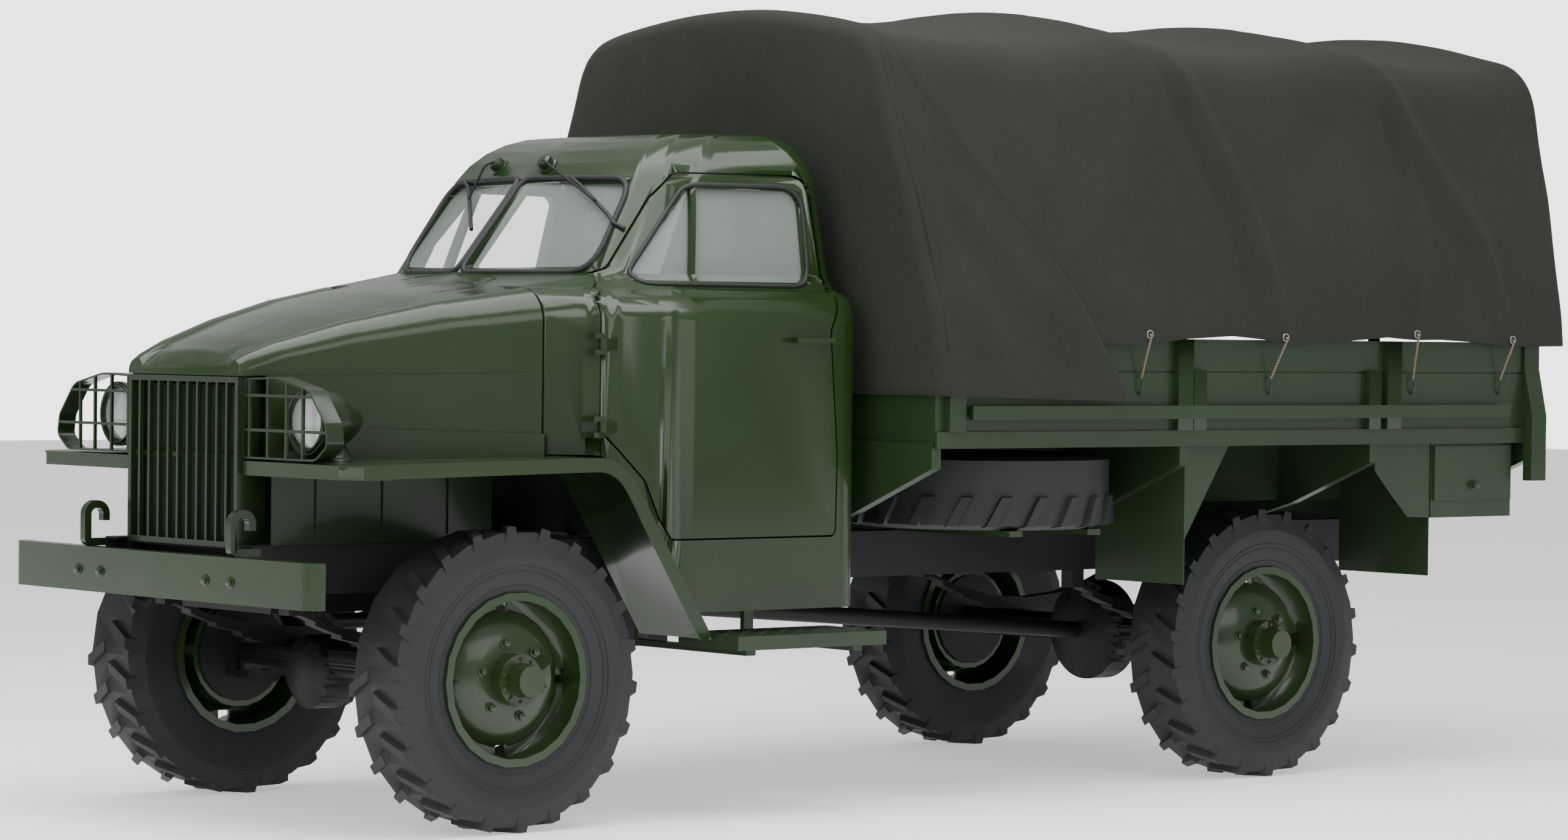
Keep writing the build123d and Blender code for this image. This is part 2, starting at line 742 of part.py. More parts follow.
with BuildPart() as frame:
    extrude(rail_strip(rail_web), amount=rail_height)
    extrude(rail_strip(rail_flange), amount=rail_web)
    extrude(rail_strip(rail_flange).moved(Location((0, 0, rail_height - rail_web))),
            amount=rail_web)
    mirror(about=Plane.XZ)
    for ahead in cross_member_ahead:
        half = rail_front_half if ahead > rail_taper_front else rail_rear_half
        reach = half - rail_web / 2
        top = rail_top - sheet - rail_web
        block((at(ahead) - cross_member_depth / 2, at(ahead) + cross_member_depth / 2),
              (-reach, reach), (top - cross_member_height, top))
        block((at(ahead) - cross_member_depth / 2 + rail_web, at(ahead) + cross_member_depth / 2),
              (-half + rail_flange, half - rail_flange),
              (top - cross_member_height + rail_web, top - rail_web), Mode.SUBTRACT)
    tail_x = at(rail_rear_ahead)
    block((tail_x, tail_x + rail_web), (-rail_rear_half, rail_rear_half), (rail_bottom, rail_top))
    block((tail_x - hitch_plate_thick, tail_x), (-hitch_plate_half, hitch_plate_half),
          (rail_bottom, rail_top))
    hitch_plane = front_plane(tail_x - hitch_plate_thick)
    with BuildSketch(hitch_plane) as holes:
        with Locations((0, rail_bottom + rail_height / 2)):
            with GridLocations(hitch_spacing_y, hitch_spacing_z, 2, 2):
                Circle(hitch_hole_radius)
    extrude(holes.sketch, amount=hitch_plate_thick + rail_web, mode=Mode.SUBTRACT)
    for ahead in cab_pad_ahead:
        for side in (-1, 1):
            y = side * (rail_rear_half - rail_flange / 2)
            block((at(ahead) - cab_pad_half, at(ahead) + cab_pad_half),
                  (y - rail_flange / 2, y + rail_flange / 2),
                  (rail_top, cab_floor_z - cab_floor_thick / 2 - seat_gap))
save(frame.part, "chassis_frame")

# Front bumper, a bowed channel with two brackets to the rails


def bumper_line(inset):
    """Give the bumper's plan line, moved inwards from its outer face."""
    bow_turn = atan2(front_overhang - bumper_corner_ahead, bumper_half)
    bow_cut = bumper_bow_radius * (1 / cos(bow_turn) - 1)
    return [(at(bumper_end_ahead), inset - bumper_half),
            (at(bumper_corner_ahead) - inset, inset - bumper_half),
            (at(front_overhang) - inset + bow_cut, 0),
            (at(bumper_corner_ahead) - inset, bumper_half - inset),
            (at(bumper_end_ahead), bumper_half - inset)]


def bumper_strip(z, width):
    """Give the bumper's plan strip, from its outer face inwards."""
    corner = bumper_corner_radius - width / 2
    return bar(Plane.XY.offset(z), bumper_line(width / 2),
               [corner, bumper_bow_radius, corner], width)


with BuildPart() as bumper:
    extrude(bumper_strip(bumper_bottom, bumper_steel), amount=bumper_top - bumper_bottom)
    extrude(bumper_strip(bumper_bottom, bumper_flange), amount=bumper_steel)
    extrude(bumper_strip(bumper_top - bumper_steel, bumper_flange), amount=bumper_steel)
    for side in (-1, 1):
        inner = side * (rail_front_half - rail_flange)
        block((at(rail_front_ahead) + seat_gap, at(front_overhang) - 2 * bumper_steel),
              (inner, side * rail_front_half),
              (rail_bottom, bumper_top - bumper_steel / 2))
save(bumper.part, "front_bumper")

hook_foot_z = bumper_top + seat_gap + hook_bar / 2
hook_line = [(at(hook_rear_ahead), hook_foot_z), (at(hook_front_ahead), hook_foot_z),
             (at(hook_front_ahead), bumper_top + hook_height),
             (at(hook_tip_ahead), bumper_top + hook_height),
             (at(hook_tip_ahead), bumper_top + hook_height - hook_tip_drop)]
with BuildPart() as hooks:
    extrude(bar(side_plane(hook_y + hook_width / 2), hook_line,
                [hook_bar / 2 + fit_gap, hook_bend, hook_bend], hook_bar), amount=hook_width)
    mirror(about=Plane.XZ)
save(hooks.part, "tow_hooks")

# Grille and radiator
support_top = rail_top - sheet - rail_web
grille_back = at(grille_ahead) - grille_depth
with BuildPart() as grille:
    block((grille_back, at(grille_ahead)), (-grille_half, grille_half),
          (grille_bottom, grille_top))
    block((grille_back - overrun, at(grille_ahead) + overrun),
          (grille_edge - grille_half, grille_half - grille_edge),
          (grille_bottom + grille_edge, grille_top - grille_edge), Mode.SUBTRACT)
    pitch = 2 * (grille_half - grille_edge / 2) / (grille_bars + 1)
    for number in range(grille_bars):
        y = pitch * (number - (grille_bars - 1) / 2)
        block((at(grille_ahead) - grille_bar_depth, at(grille_ahead)),
              (y - grille_bar / 2, y + grille_bar / 2), (grille_bottom, grille_top))
    block((at(grille_ahead) - grille_bar_depth - grille_tie, at(grille_ahead) - grille_bar_depth),
          (-grille_half, grille_half), (grille_tie_z - grille_tie, grille_tie_z + grille_tie))
    for side in (-1, 1):
        block((at(radiator_back_ahead), grille_back),
              (side * (grille_half - sheet), side * grille_half), (grille_bottom, grille_top))
save(grille.part, "grille")

with BuildPart() as radiator:
    block((at(radiator_back_ahead), at(radiator_front_ahead)), (-radiator_half, radiator_half),
          (support_top + seat_gap, radiator_top))
save(radiator.part, "radiator")

# Engine and transmission
with BuildPart() as engine:
    block((at(engine_back_ahead), at(engine_front_ahead)), (-engine_half, engine_half),
          (engine_bottom, engine_top))
    for side in (-1, 1):
        block((at(0) - cab_pad_half, at(0) + cab_pad_half),
              (side * engine_half, side * (rail_front_half - rail_web - seat_gap)),
              (engine_bottom + rail_flange + overrun, rail_top - rail_web - overrun))
save(engine.part, "engine_block")

transfer_z = (transfer_top + transfer_bottom) / 2


def shaft(start, end, radius):
    """Add a shaft between two points, its end faces square to X."""
    ends = []
    for x, y, z in (start, end):
        with BuildSketch(front_plane(x)) as section:
            with Locations((y, z)):
                RegularPolygon(radius, shaft_sides)
        ends.append(section.sketch)
    loft(ends, ruled=True)


with BuildPart() as gearbox:
    block((at(gearbox_back_ahead), at(engine_back_ahead) - seat_gap),
          (-gearbox_half, gearbox_half), (gearbox_bottom, gearbox_top))
    block((at(transfer_back_ahead), at(transfer_front_ahead)),
          (transfer_right, transfer_left), (transfer_bottom, transfer_top))
    shaft((at(transfer_front_ahead), 0, transfer_z), (at(gearbox_back_ahead), 0, transfer_z),
          shaft_radius)
    shaft((at(transfer_front_ahead), front_diff_y, transfer_z - overrun),
          (at(-diff_nose_reach - diff_half_width) - seat_gap, front_diff_y,
           tyre_radius - front_diff_drop), shaft_radius)
    shaft((at(transfer_back_ahead), 0, transfer_z),
          (rear_axle_x + diff_half_width + diff_nose_reach / 2 + seat_gap, 0, tyre_radius),
          shaft_radius)
    for side in (-1, 1):
        block((at(transfer_front_ahead) - cab_pad_half, at(transfer_front_ahead)),
              (side * gearbox_half, side * (rail_rear_half - rail_web - seat_gap)),
              (rail_bottom + rail_web + seat_gap, transfer_top))
save(gearbox.part, "transmission")

# Exhaust pipe and silencer
pipe_line = [(at(engine_back_ahead) + 2 * pipe_bend, -engine_half - pipe_radius - seat_gap,
              engine_bottom + pipe_bend),
             (at(engine_back_ahead) + 2 * pipe_bend, -engine_half - pipe_radius - seat_gap,
              muffler_z - pipe_bend / 2),
             (at(gearbox_back_ahead), -engine_half - pipe_radius - seat_gap,
              muffler_z - pipe_bend / 2),
             (at(muffler_front_ahead) + pipe_bend, muffler_y, muffler_z),
             (at(muffler_front_ahead) - pipe_bend / 2, muffler_y, muffler_z)]
with BuildPart() as exhaust:
    with BuildLine() as pipe_path:
        FilletPolyline(*pipe_line, radius=pipe_bend)
    with BuildSketch(Plane(origin=pipe_line[0], z_dir=(0, 0, -1))) as pipe_section:
        RegularPolygon(pipe_radius, shaft_sides)
    sweep(pipe_section.sketch, path=pipe_path.line)
    with BuildSketch(front_plane(at(muffler_back_ahead))) as can:
        with Locations((muffler_y, muffler_z)):
            RegularPolygon(muffler_radius, rim_sides)
    extrude(can.sketch, amount=muffler_front_ahead - muffler_back_ahead)
    shaft((at(muffler_back_ahead), muffler_y, muffler_z),
          (at(muffler_back_ahead) - 3 * pipe_bend, muffler_y, muffler_z), pipe_radius)
    block((at(muffler_front_ahead) - 2 * step_bracket, at(muffler_front_ahead) - step_bracket),
          (muffler_y, rail_flange / 2 - rail_rear_half),
          (rail_bottom - seat_gap - sheet, rail_bottom - seat_gap))
save(exhaust.part, "exhaust")

# Fuel tank with straps to the right rail
with BuildPart() as tank:
    block((at(tank_back_ahead), at(tank_front_ahead)), (tank_outer_y, tank_inner_y),
          (tank_bottom, tank_top))
    long_edges = tank.edges().filter_by(Axis.X)
    fillet(long_edges, radius=tank_round)
    for share in (0.25, 0.75):
        x = at(tank_back_ahead) + share * (tank_front_ahead - tank_back_ahead)
        block((x - tank_strap / 2, x + tank_strap / 2),
              (tank_inner_y - sheet, -rail_rear_half - seat_gap),
              (rail_bottom + rail_web, rail_top - rail_web))
save(tank.part, "fuel_tank")

# Bonnet, a shell lofted through arched sections and open below


def hood_section(row, inset):
    """Draw one arched section of the bonnet, moved inwards by the inset."""
    ahead, half, bottom, side_top, arch_half, arch_z, crown = row
    low = bottom - (overrun if inset else 0)
    with BuildSketch(front_plane(at(ahead))) as drawn:
        with BuildLine():
            right = (inset - half, low)
            left = (half - inset, low)
            Line(right, left)
            side = Line(left, (half - inset, side_top - inset / 2))
            corner = TangentArc(side @ 1, (arch_half - inset / 2, arch_z - inset),
                                tangent=(0, 1))
            crest = ThreePointArc(corner @ 1, (0, crown - inset),
                                  (inset / 2 - arch_half, arch_z - inset))
            far = (inset - half, side_top - inset / 2)
            TangentArc(far, crest @ 1, tangent=(0, 1))
            Line(far, right)
        make_face()
    return drawn.sketch


def inner_rows():
    """Give the bonnet's rows with both end sections moved inside its end walls."""
    rows = [list(row) for row in hood_sections]
    rows[0][0] += hood_sheet
    rows[-1][0] -= hood_sheet
    return rows


with BuildPart() as hood:
    loft([hood_section(row, 0) for row in hood_sections], ruled=True)
    loft([hood_section(row, hood_sheet) for row in inner_rows()], ruled=True,
         mode=Mode.SUBTRACT)
save(hood.part, "hood")

# Fenders: a sheet bent over the wheel, with a deep lip at its outer and front edges


def fender_line(drop):
    """Give the fender's side line, moved down and inwards by the drop."""
    slope = atan2(fender_knee_z - fender_foot_z, fender_knee_ahead - fender_foot_ahead)
    back = drop / sin(slope)
    knee_shift = back - drop / (sin(slope) / cos(slope))
    return [(at(fender_front_ahead), fender_front_z - drop),
            (at(fender_knee_ahead) + knee_shift, fender_knee_z - drop),
            (at(fender_foot_ahead) + back, fender_foot_z)]


def fender_strip(y, width):
    """Give a side-view strip of the fender, from its top face inwards."""
    return bar(side_plane(y), fender_line(width / 2), fender_bend - width / 2, width)


fender_plan = [(at(fender_front_ahead), fender_inner_front),
               (at(fender_front_ahead), fender_outer - fender_corner),
               (at(fender_front_ahead) - fender_corner, fender_outer),
               (at(fender_foot_ahead) - overrun, fender_outer),
               (at(fender_foot_ahead) - overrun, fender_inner_rear),
               (at(fender_knee_ahead) + fender_corner, fender_inner_rear),
               (at(fender_knee_ahead) + 2 * fender_corner, fender_inner),
               (at(fender_inner_turn_ahead), fender_inner)]

with BuildPart() as fenders:
    extrude(fender_strip(fender_outer, fender_sheet), amount=fender_outer - fender_inner_front)
    extrude(fender_strip(fender_outer, fender_lip), amount=fender_sheet)
    lip_line = [fender_plan[0], fender_plan[1], fender_plan[2],
                (at(fender_front_ahead) - 3 * fender_corner, fender_outer)]
    inner_line = [(x - fender_sheet / 2, y - fender_sheet / 2) for x, y in lip_line]
    extrude(bar(Plane.XY.offset(fender_front_z - fender_lip), inner_line,
                [fender_corner / 2, fender_corner / 2], fender_sheet),
            amount=fender_lip - fender_sheet / 2)
    extrude(outline(Plane.XY.offset(fender_foot_z), fender_plan),
            amount=fender_knee_z - fender_foot_z + overrun, mode=Mode.INTERSECT)
    mirror(about=Plane.XZ)
save(fenders.part, "front_fenders")

# Side panels of the engine bay, between the bonnet's seam and the fenders
seam_front = hood_sections[-1][2] - seat_gap
seam_rear = hood_sections[0][2] - seat_gap
panel_front_ahead = guard_ahead - guard_depth - seat_gap
narrow, wide = hood_sections[-2], hood_sections[-3]
panel_taper = (wide[1] - narrow[1]) / (narrow[0] - wide[0])
panel_front_half = narrow[1] + panel_taper * (narrow[0] - panel_front_ahead)
panel_front = (at(panel_front_ahead), panel_front_half)
panel_rear = (at(hood_sections[0][0]), hood_sections[0][1])


def panel_strip(inner, outer, z):
    """Give the plan strip of a side panel between two offsets from its face."""
    run = Vector(panel_rear[0] - panel_front[0], panel_rear[1] - panel_front[1], 0)
    out = Vector(run.Y, -run.X, 0).normalized()
    ends = [Vector(*panel_front, 0), Vector(*panel_rear, 0)]
    points = [ends[0] + out * inner, ends[1] + out * inner,
              ends[1] + out * outer, ends[0] + out * outer]
    return outline(Plane.XY.offset(z), [(point.X, point.Y) for point in points])


def below_line(front, rear, depth):
    """Give a side-view shape below a straight line from front to rear."""
    return outline(side_plane(bed_half), [front, rear, (rear[0], rear[1] - depth),
                                          (front[0], front[1] - depth)])


reach = 2 * bed_half
nose = at(fender_front_ahead) + overrun
tail = at(fender_knee_ahead)
fender_slope = (fender_knee_z - fender_front_z) / (fender_front_ahead - fender_knee_ahead)
nose_z = fender_front_z - fender_slope * overrun + seat_gap
with BuildPart() as hood_sides:
    extrude(panel_strip(-side_panel_thick, 0, fender_front_z - overrun),
            amount=seam_rear - fender_front_z + 2 * overrun)
    extrude(panel_strip(-side_panel_thick, side_panel_step, fender_front_z - overrun),
            amount=seam_rear - fender_front_z)
    ledge = [(nose, side_ledge_front_z), (tail, side_ledge_rear_z),
             (tail, seam_rear + overrun), (nose, seam_rear + overrun)]
    cut = panel_strip(0, 2 * side_panel_step, side_ledge_rear_z - overrun)
    with BuildPart(mode=Mode.PRIVATE) as above:
        extrude(outline(side_plane(bed_half), ledge), amount=reach)
    with BuildPart(mode=Mode.PRIVATE) as outside:
        extrude(cut, amount=seam_rear - side_ledge_rear_z + 3 * overrun)
    add(above.part & outside.part, mode=Mode.SUBTRACT)
    extrude(below_line((nose, nose_z), (tail, fender_knee_z + seat_gap), 2 * overrun + fender_lip),
            amount=reach, mode=Mode.SUBTRACT)
    seam = [(nose, seam_front), (tail, seam_rear + (seam_rear - seam_front) / 6),
            (tail, seam_rear + 3 * overrun), (nose, seam_rear + 3 * overrun)]
    extrude(outline(side_plane(bed_half), seam), amount=reach, mode=Mode.SUBTRACT)
    block((at(panel_front_ahead), nose), (0, reach), (fender_front_z - 2 * overrun, seam_rear),
          Mode.SUBTRACT)
    mirror(about=Plane.XZ)
save(hood_sides.part, "engine_bay_sides")

# Splash panels inside the wheel arches
with BuildPart() as splash:
    arch = [(at(splash_front_ahead), splash_bottom), (at(splash_front_ahead), fender_front_z - fender_sheet - seat_gap),
            (at(splash_rear_ahead), fender_front_z - fender_sheet - seat_gap),
            (at(splash_rear_ahead), splash_bottom)]
    extrude(outline(side_plane(splash_y), arch), amount=sheet)
    for share in (0.2, 0.5, 0.8):
        x = at(splash_rear_ahead) + share * (splash_front_ahead - splash_rear_ahead)
        block((x - splash_rib / 2, x + splash_rib / 2), (splash_y, splash_y + splash_rib / 2),
              (splash_bottom, fender_front_z - fender_sheet - seat_gap))
    block((at(splash_rear_ahead), at(splash_front_ahead)),
          (rail_front_half - rail_flange, splash_y),
          (rail_top + seat_gap, rail_top + seat_gap + sheet))
    block((at(splash_rear_ahead), at(splash_front_ahead)), (splash_y - sheet, splash_y),
          (rail_top + seat_gap, splash_bottom))
    mirror(about=Plane.XZ)
save(splash.part, "splash_panels")

# Headlamps, turned about X, each on a tapered foot


def lamp_axis(side):
    """Give the X axis through a lamp's middle."""
    return Axis((0, side * lamp_y, lamp_z), (1, 0, 0))


lamp_front = at(lamp_face_ahead)
lamp_back = lamp_front - lamp_depth
foot_rear_ahead = lamp_face_ahead - lamp_depth / 2 - lamp_foot_bottom
foot_z = fender_front_z + fender_slope * (fender_front_ahead - foot_rear_ahead) + seat_gap
with BuildPart() as lamps:
    with BuildSketch(Plane(origin=(0, lamp_y, lamp_z), x_dir=(1, 0, 0), z_dir=(0, -1, 0))) as half:
        with BuildLine():
            Polyline((lamp_back, 0), (lamp_front - lens_depth, 0),
                     (lamp_front - lens_depth, lens_radius + seat_gap),
                     (lamp_front, lens_radius + seat_gap),
                     (lamp_front, lamp_radius), (lamp_front - lamp_ring, lamp_radius),
                     (lamp_front - lamp_ring, lamp_radius - sheet))
            ThreePointArc((lamp_front - lamp_ring, lamp_radius - sheet),
                          (lamp_back + (lamp_depth - lamp_ring) * (1 - lamp_shell_share),
                           (lamp_radius - sheet) * lamp_shell_share),
                          (lamp_back, 0))
        make_face()
    revolve(half.sketch, axis=lamp_axis(1))
    foot_x = lamp_front - lamp_depth / 2
    with BuildSketch(Plane.XY.offset(foot_z)) as foot_low:
        with Locations((foot_x, lamp_y)):
            RegularPolygon(lamp_foot_bottom, rim_sides)
    with BuildSketch(Plane.XY.offset(lamp_z - lamp_radius * lamp_shell_share)) as foot_high:
        with Locations((foot_x, lamp_y)):
            RegularPolygon(lamp_foot_top, rim_sides)
    loft([foot_low.sketch, foot_high.sketch], ruled=True)
    mirror(about=Plane.XZ)
save(lamps.part, "headlamps")

with BuildPart() as lenses:
    for side in (-1, 1):
        with BuildSketch(front_plane(lamp_front - lens_depth + seat_gap)) as pane:
            with Locations((side * lamp_y, lamp_z)):
                Circle(lens_radius)
        extrude(pane.sketch, amount=lens_depth)
save(lenses.part, "lamp_lenses")

# Lamp guards: a strip bent round the lamp, crossed by rods
with BuildPart() as guards:
    guard_plane = front_plane(at(guard_ahead) - guard_depth)
    middle_z = (guard_outline[0][1] + guard_outline[-1][1]) / 2
    guard_centre = []
    for y, z in guard_outline:
        inward = guard_strip / 2 if z < middle_z else -guard_strip / 2
        guard_centre.append((y, z + inward))
    extrude(bar(guard_plane, guard_centre, guard_corner_radii, guard_strip), amount=guard_depth)
    with BuildSketch(front_plane(at(guard_ahead) - guard_rod)) as field:
        with BuildLine():
            FilletPolyline(*guard_outline, radius=[0] + guard_corner_radii + [0], close=True)
        make_face()
    with BuildPart(mode=Mode.PRIVATE) as rods:
        low = min(z for y, z in guard_outline)
        high = max(z for y, z in guard_outline)
        near = guard_outline[0][0]
        far = max(y for y, z in guard_outline)
        for y in guard_rod_y:
            block((at(guard_ahead) - guard_rod, at(guard_ahead)),
                  (y - guard_rod / 2, y + guard_rod / 2), (low, high))
        for z in guard_rod_z:
            block((at(guard_ahead) - guard_rod, at(guard_ahead)), (near, far),
                  (z - guard_rod / 2, z + guard_rod / 2))
        extrude(field.sketch, amount=guard_rod, mode=Mode.INTERSECT)
    add(rods.part)
    block((at(guard_ahead) - guard_depth, at(guard_ahead)), (near - guard_strip, near),
          (low, high))
    mirror(about=Plane.XZ)
save(guards.part, "lamp_guards")

# Cab form: plan outlines stacked into one body, with a rounded shoulder and roof edge


def cab_outline(row, inset):
    """Draw one plan outline of the cab, moved inwards by the inset."""
    (z, nose_x, corner_x, corner_y, flare_x, flare_y, side_x, side_y, rear_y, rear_x,
     corner_r, flare_r, side_r, rear_r) = row
    points = [(at(nose_x) - inset, 0), (at(corner_x) - inset, corner_y - inset * 0.7),
              (at(flare_x) - inset * 0.5, flare_y - inset), (at(side_x), side_y - inset),
              (at(rear_x) + inset, rear_y - inset), (at(rear_x) + inset, 0)]
    radii = [corner_r, flare_r, side_r, max(rear_r - inset, rear_r / 3)]
    with BuildSketch(Plane.XY.offset(z)) as drawn:
        with BuildLine():
            FilletPolyline(*points, radius=radii)
            mirror(about=Plane.XZ)
        make_face()
    return drawn.sketch


def curved_rows(low, high, steps, lean):
    """Give the rows between two outlines, along an arc that starts at the lean angle."""
    rows = []
    start = radians(lean)
    for step in range(1, steps + 1):
        turn = start + (pi / 2 - start) * step / steps
        inward = (cos(start) - cos(turn)) / cos(start)
        row = [a + (b - a) * inward for a, b in zip(low, high)]
        row[0] = low[0] + (high[0] - low[0]) * (sin(turn) - sin(start)) / (1 - sin(start))
        rows.append(row)
    return rows


def cab_form(inset, top_drop=0.0):
    """Give the cab's solid form, moved inwards by the inset."""
    sill, waist, shoulder, belt, brow, crown = [list(row) for row in cab_outlines]
    crown[0] -= top_drop
    rows = [sill, waist] + curved_rows(waist, shoulder, cab_shoulder_steps, cab_shoulder_lean)
    rows += [belt, brow] + curved_rows(brow, crown, cab_roof_steps, cab_roof_lean)
    with BuildPart() as form:
        loft([cab_outline(row, inset) for row in rows], ruled=True)
    return form.part


def door_prism(clearance, relief=0.0):
    """Give the door's outline as a body through the cab's left side."""
    points = []
    for number, (x, z) in enumerate(door_outline):
        grow_x = relief if number in (4, 5) else 0
        points.append((at(x) - grow_x, z))
    with BuildSketch(side_plane(bed_half)) as drawn:
        with BuildLine():
            FilletPolyline(*points, radius=door_corner_radii, close=True)
        make_face()
        if clearance:
            offset(amount=clearance, kind=Kind.INTERSECTION)
    with BuildPart() as body:
        extrude(drawn.sketch, amount=bed_half - fender_inner_front)
    return body.part


def pane_body(plane, points, radii, depth, shrink=0.0):
    """Give a window opening as a body, made smaller all round by the shrink."""
    with BuildSketch(plane) as drawn:
        with BuildLine():
            FilletPolyline(*points, radius=radii, close=True)
        make_face()
        if shrink:
            offset(amount=-shrink)
    with BuildPart() as body:
        extrude(drawn.sketch, amount=depth)
    return body.part


def window_post():
    """Give the upright between a door's vent pane and its main pane."""
    with BuildPart() as post:
        low, high = cab_outlines[2][0], cab_outlines[4][0]
        lean = [(at(vent_post_bottom_ahead) - vent_post / 2, low),
                (at(vent_post_bottom_ahead) + vent_post / 2, low),
                (at(vent_post_top_ahead) + vent_post / 2, high),
                (at(vent_post_top_ahead) - vent_post / 2, high)]
        extrude(outline(side_plane(bed_half), lean), amount=bed_half - fender_inner_front)
    return post.part


screen_plane = front_plane(at(cab_outlines[4][2]) - 2 * cab_wall)
screen_depth = 0 - cab_outlines[4][2] + cab_outlines[1][1] + 3 * cab_wall
rear_window = [(-rear_pane_half, rear_pane_bottom), (rear_pane_half, rear_pane_bottom),
               (rear_pane_half, rear_pane_top), (-rear_pane_half, rear_pane_top)]
rear_plane = front_plane(at(cab_outlines[0][9]) - overrun)
rear_depth = 2 * cab_wall + overrun


def screen_bodies(shrink):
    """Give the two windscreen openings and the rear one."""
    left = pane_body(screen_plane, windscreen_pane, windscreen_radii, screen_depth, shrink)
    rear = pane_body(rear_plane, rear_window, rear_pane_radius, rear_depth, shrink)
    return [left, mirror(left, about=Plane.XZ, mode=Mode.PRIVATE), rear]


window_points = [(at(x), z) for x, z in door_window]
door_opening = door_prism(running_gap, door_relief)
door_window_body = pane_body(side_plane(bed_half), window_points, door_window_radii,
                             bed_half - fender_inner_front)

outer_form = cab_form(0)
inner_form = cab_form(cab_wall, cab_roof_wall)
below_floor = cab_outline(cab_outlines[0], cab_wall)

with BuildPart() as cab:
    add(outer_form)
    add(inner_form, mode=Mode.SUBTRACT)
    extrude(below_floor, amount=-overrun, mode=Mode.SUBTRACT)
    sill = [(at(fender_front_ahead), fender_knee_z + seat_gap + fender_sheet / 2),
            (at(fender_knee_ahead) + fender_corner / 2, fender_knee_z + seat_gap + fender_sheet / 2),
            (at(fender_knee_ahead) - sheet, fender_knee_z + seat_gap),
            (at(fender_foot_ahead) - sheet, fender_foot_z),
            (at(fender_front_ahead), fender_foot_z)]
    extrude(outline(side_plane(bed_half), sill), amount=2 * bed_half, mode=Mode.SUBTRACT)
    block((at(cab_outlines[0][9]) - overrun, at(cab_outlines[0][9]) + 2 * cab_wall),
          (-cab_rear_cut_half, cab_rear_cut_half),
          (cab_outlines[0][0] - overrun, cab_rear_cut_top), Mode.SUBTRACT)
    for body in screen_bodies(0):
        add(body, mode=Mode.SUBTRACT)
    add(door_opening, mode=Mode.SUBTRACT)
    add(mirror(door_opening, about=Plane.XZ, mode=Mode.PRIVATE), mode=Mode.SUBTRACT)
    for side in (-1, 1):
        for z in door_hinge_z:
            for end in (-1, 1):
                low = z + end * (hinge_half / 2 + hinge_pin_gap)
                high = z + end * hinge_half
                block((at(door_hinge_ahead) - hinge_knuckle_radius / 2,
                       at(door_hinge_ahead) + 3 * hinge_knuckle_radius),
                      (side * (door_hinge_y - 5 * hinge_knuckle_radius),
                       side * (door_hinge_y + hinge_knuckle_radius / 2)), (low, high))
            with Locations((at(door_hinge_ahead), side * door_hinge_y, z)):
                Cylinder(hinge_pin_radius, 2 * hinge_half)
save(cab.part, "cab_shell")

# Glass: a thin layer of the cab's own form, cut to each window
glass_outside = cab_form(cab_glass_inset, cab_glass_inset)
glass_inside = cab_form(cab_glass_inset + cab_glass_thick, cab_glass_inset + cab_glass_thick)


def glass_pane(opening):
    """Give the pane that fills a window opening."""
    with BuildPart() as pane:
        add(opening)
        add(glass_outside, mode=Mode.INTERSECT)
        add(glass_inside, mode=Mode.SUBTRACT)
    return pane.part


def screen_glass(opening):
    """Give a flat pane set into a windscreen opening."""
    belt, brow = cab_outlines[3], cab_outlines[4]
    nose = [Vector(at(row[1]), 0, row[0]) for row in (belt, brow)]
    corner = [Vector(at(row[2]), row[3], row[0]) for row in (belt, brow)]
    middle = [(a + b) / 2 for a, b in zip(nose, corner)]
    along = corner[0] - nose[0] + corner[1] - nose[1]
    rise = middle[1] - middle[0]
    normal = along.cross(rise).normalized()
    centre = (middle[0] + middle[1]) / 2 - normal * screen_inset
    with BuildPart() as pane:
        with BuildSketch(Plane(origin=centre, x_dir=along, z_dir=normal)) as plate:
            Rectangle(along.length, 2 * rise.length)
        extrude(plate.sketch, amount=-screen_thick)
        add(opening, mode=Mode.INTERSECT)
    return pane.part


with BuildPart() as cab_glass:
    left_screen, right_screen, back_screen = screen_bodies(seat_gap)
    add(screen_glass(left_screen))
    mirror(about=Plane.XZ)
    add(glass_pane(back_screen))
save(cab_glass.part, "cab_glass")

with BuildPart() as door_glass:
    pane = pane_body(side_plane(bed_half), window_points, door_window_radii,
                     bed_half - fender_inner_front, seat_gap)
    add(glass_pane(pane) - window_post())
save(door_glass.part, "door_glass_left")
save(mirror(door_glass.part, about=Plane.XZ), "door_glass_right")

# Doors, cut from the same form as the cab
with BuildPart() as door:
    add(outer_form)
    add(inner_form, mode=Mode.SUBTRACT)
    add(door_prism(0), mode=Mode.INTERSECT)
    add(door_window_body - window_post(), mode=Mode.SUBTRACT)
    for z in door_hinge_z:
        block((at(door_hinge_ahead) - 4 * hinge_knuckle_radius, at(door_hinge_ahead)),
              (door_hinge_y - hinge_knuckle_radius / 2, door_hinge_y + hinge_knuckle_radius / 2),
              (z - hinge_half / 2, z + hinge_half / 2))
        with Locations((at(door_hinge_ahead), door_hinge_y, z)):
            Cylinder(hinge_knuckle_radius, hinge_half)
            Cylinder(hinge_pin_radius + hinge_pin_gap, 2 * hinge_half, mode=Mode.SUBTRACT)
    side_half = cab_outlines[0][8]
    block((at(handle_back_ahead), at(handle_front_ahead)),
          (side_half + handle_stand_off - handle_bar, side_half + handle_stand_off),
          (handle_z - handle_bar / 2, handle_z + handle_bar / 2))
    for ahead in (handle_back_ahead + handle_bar, handle_front_ahead - handle_bar):
        block((at(ahead) - handle_bar / 2, at(ahead) + handle_bar / 2),
              (side_half - handle_bar, side_half + handle_stand_off - handle_bar / 2),
              (handle_z - handle_bar / 2, handle_z + handle_bar / 2))
save(door.part, "door_left")
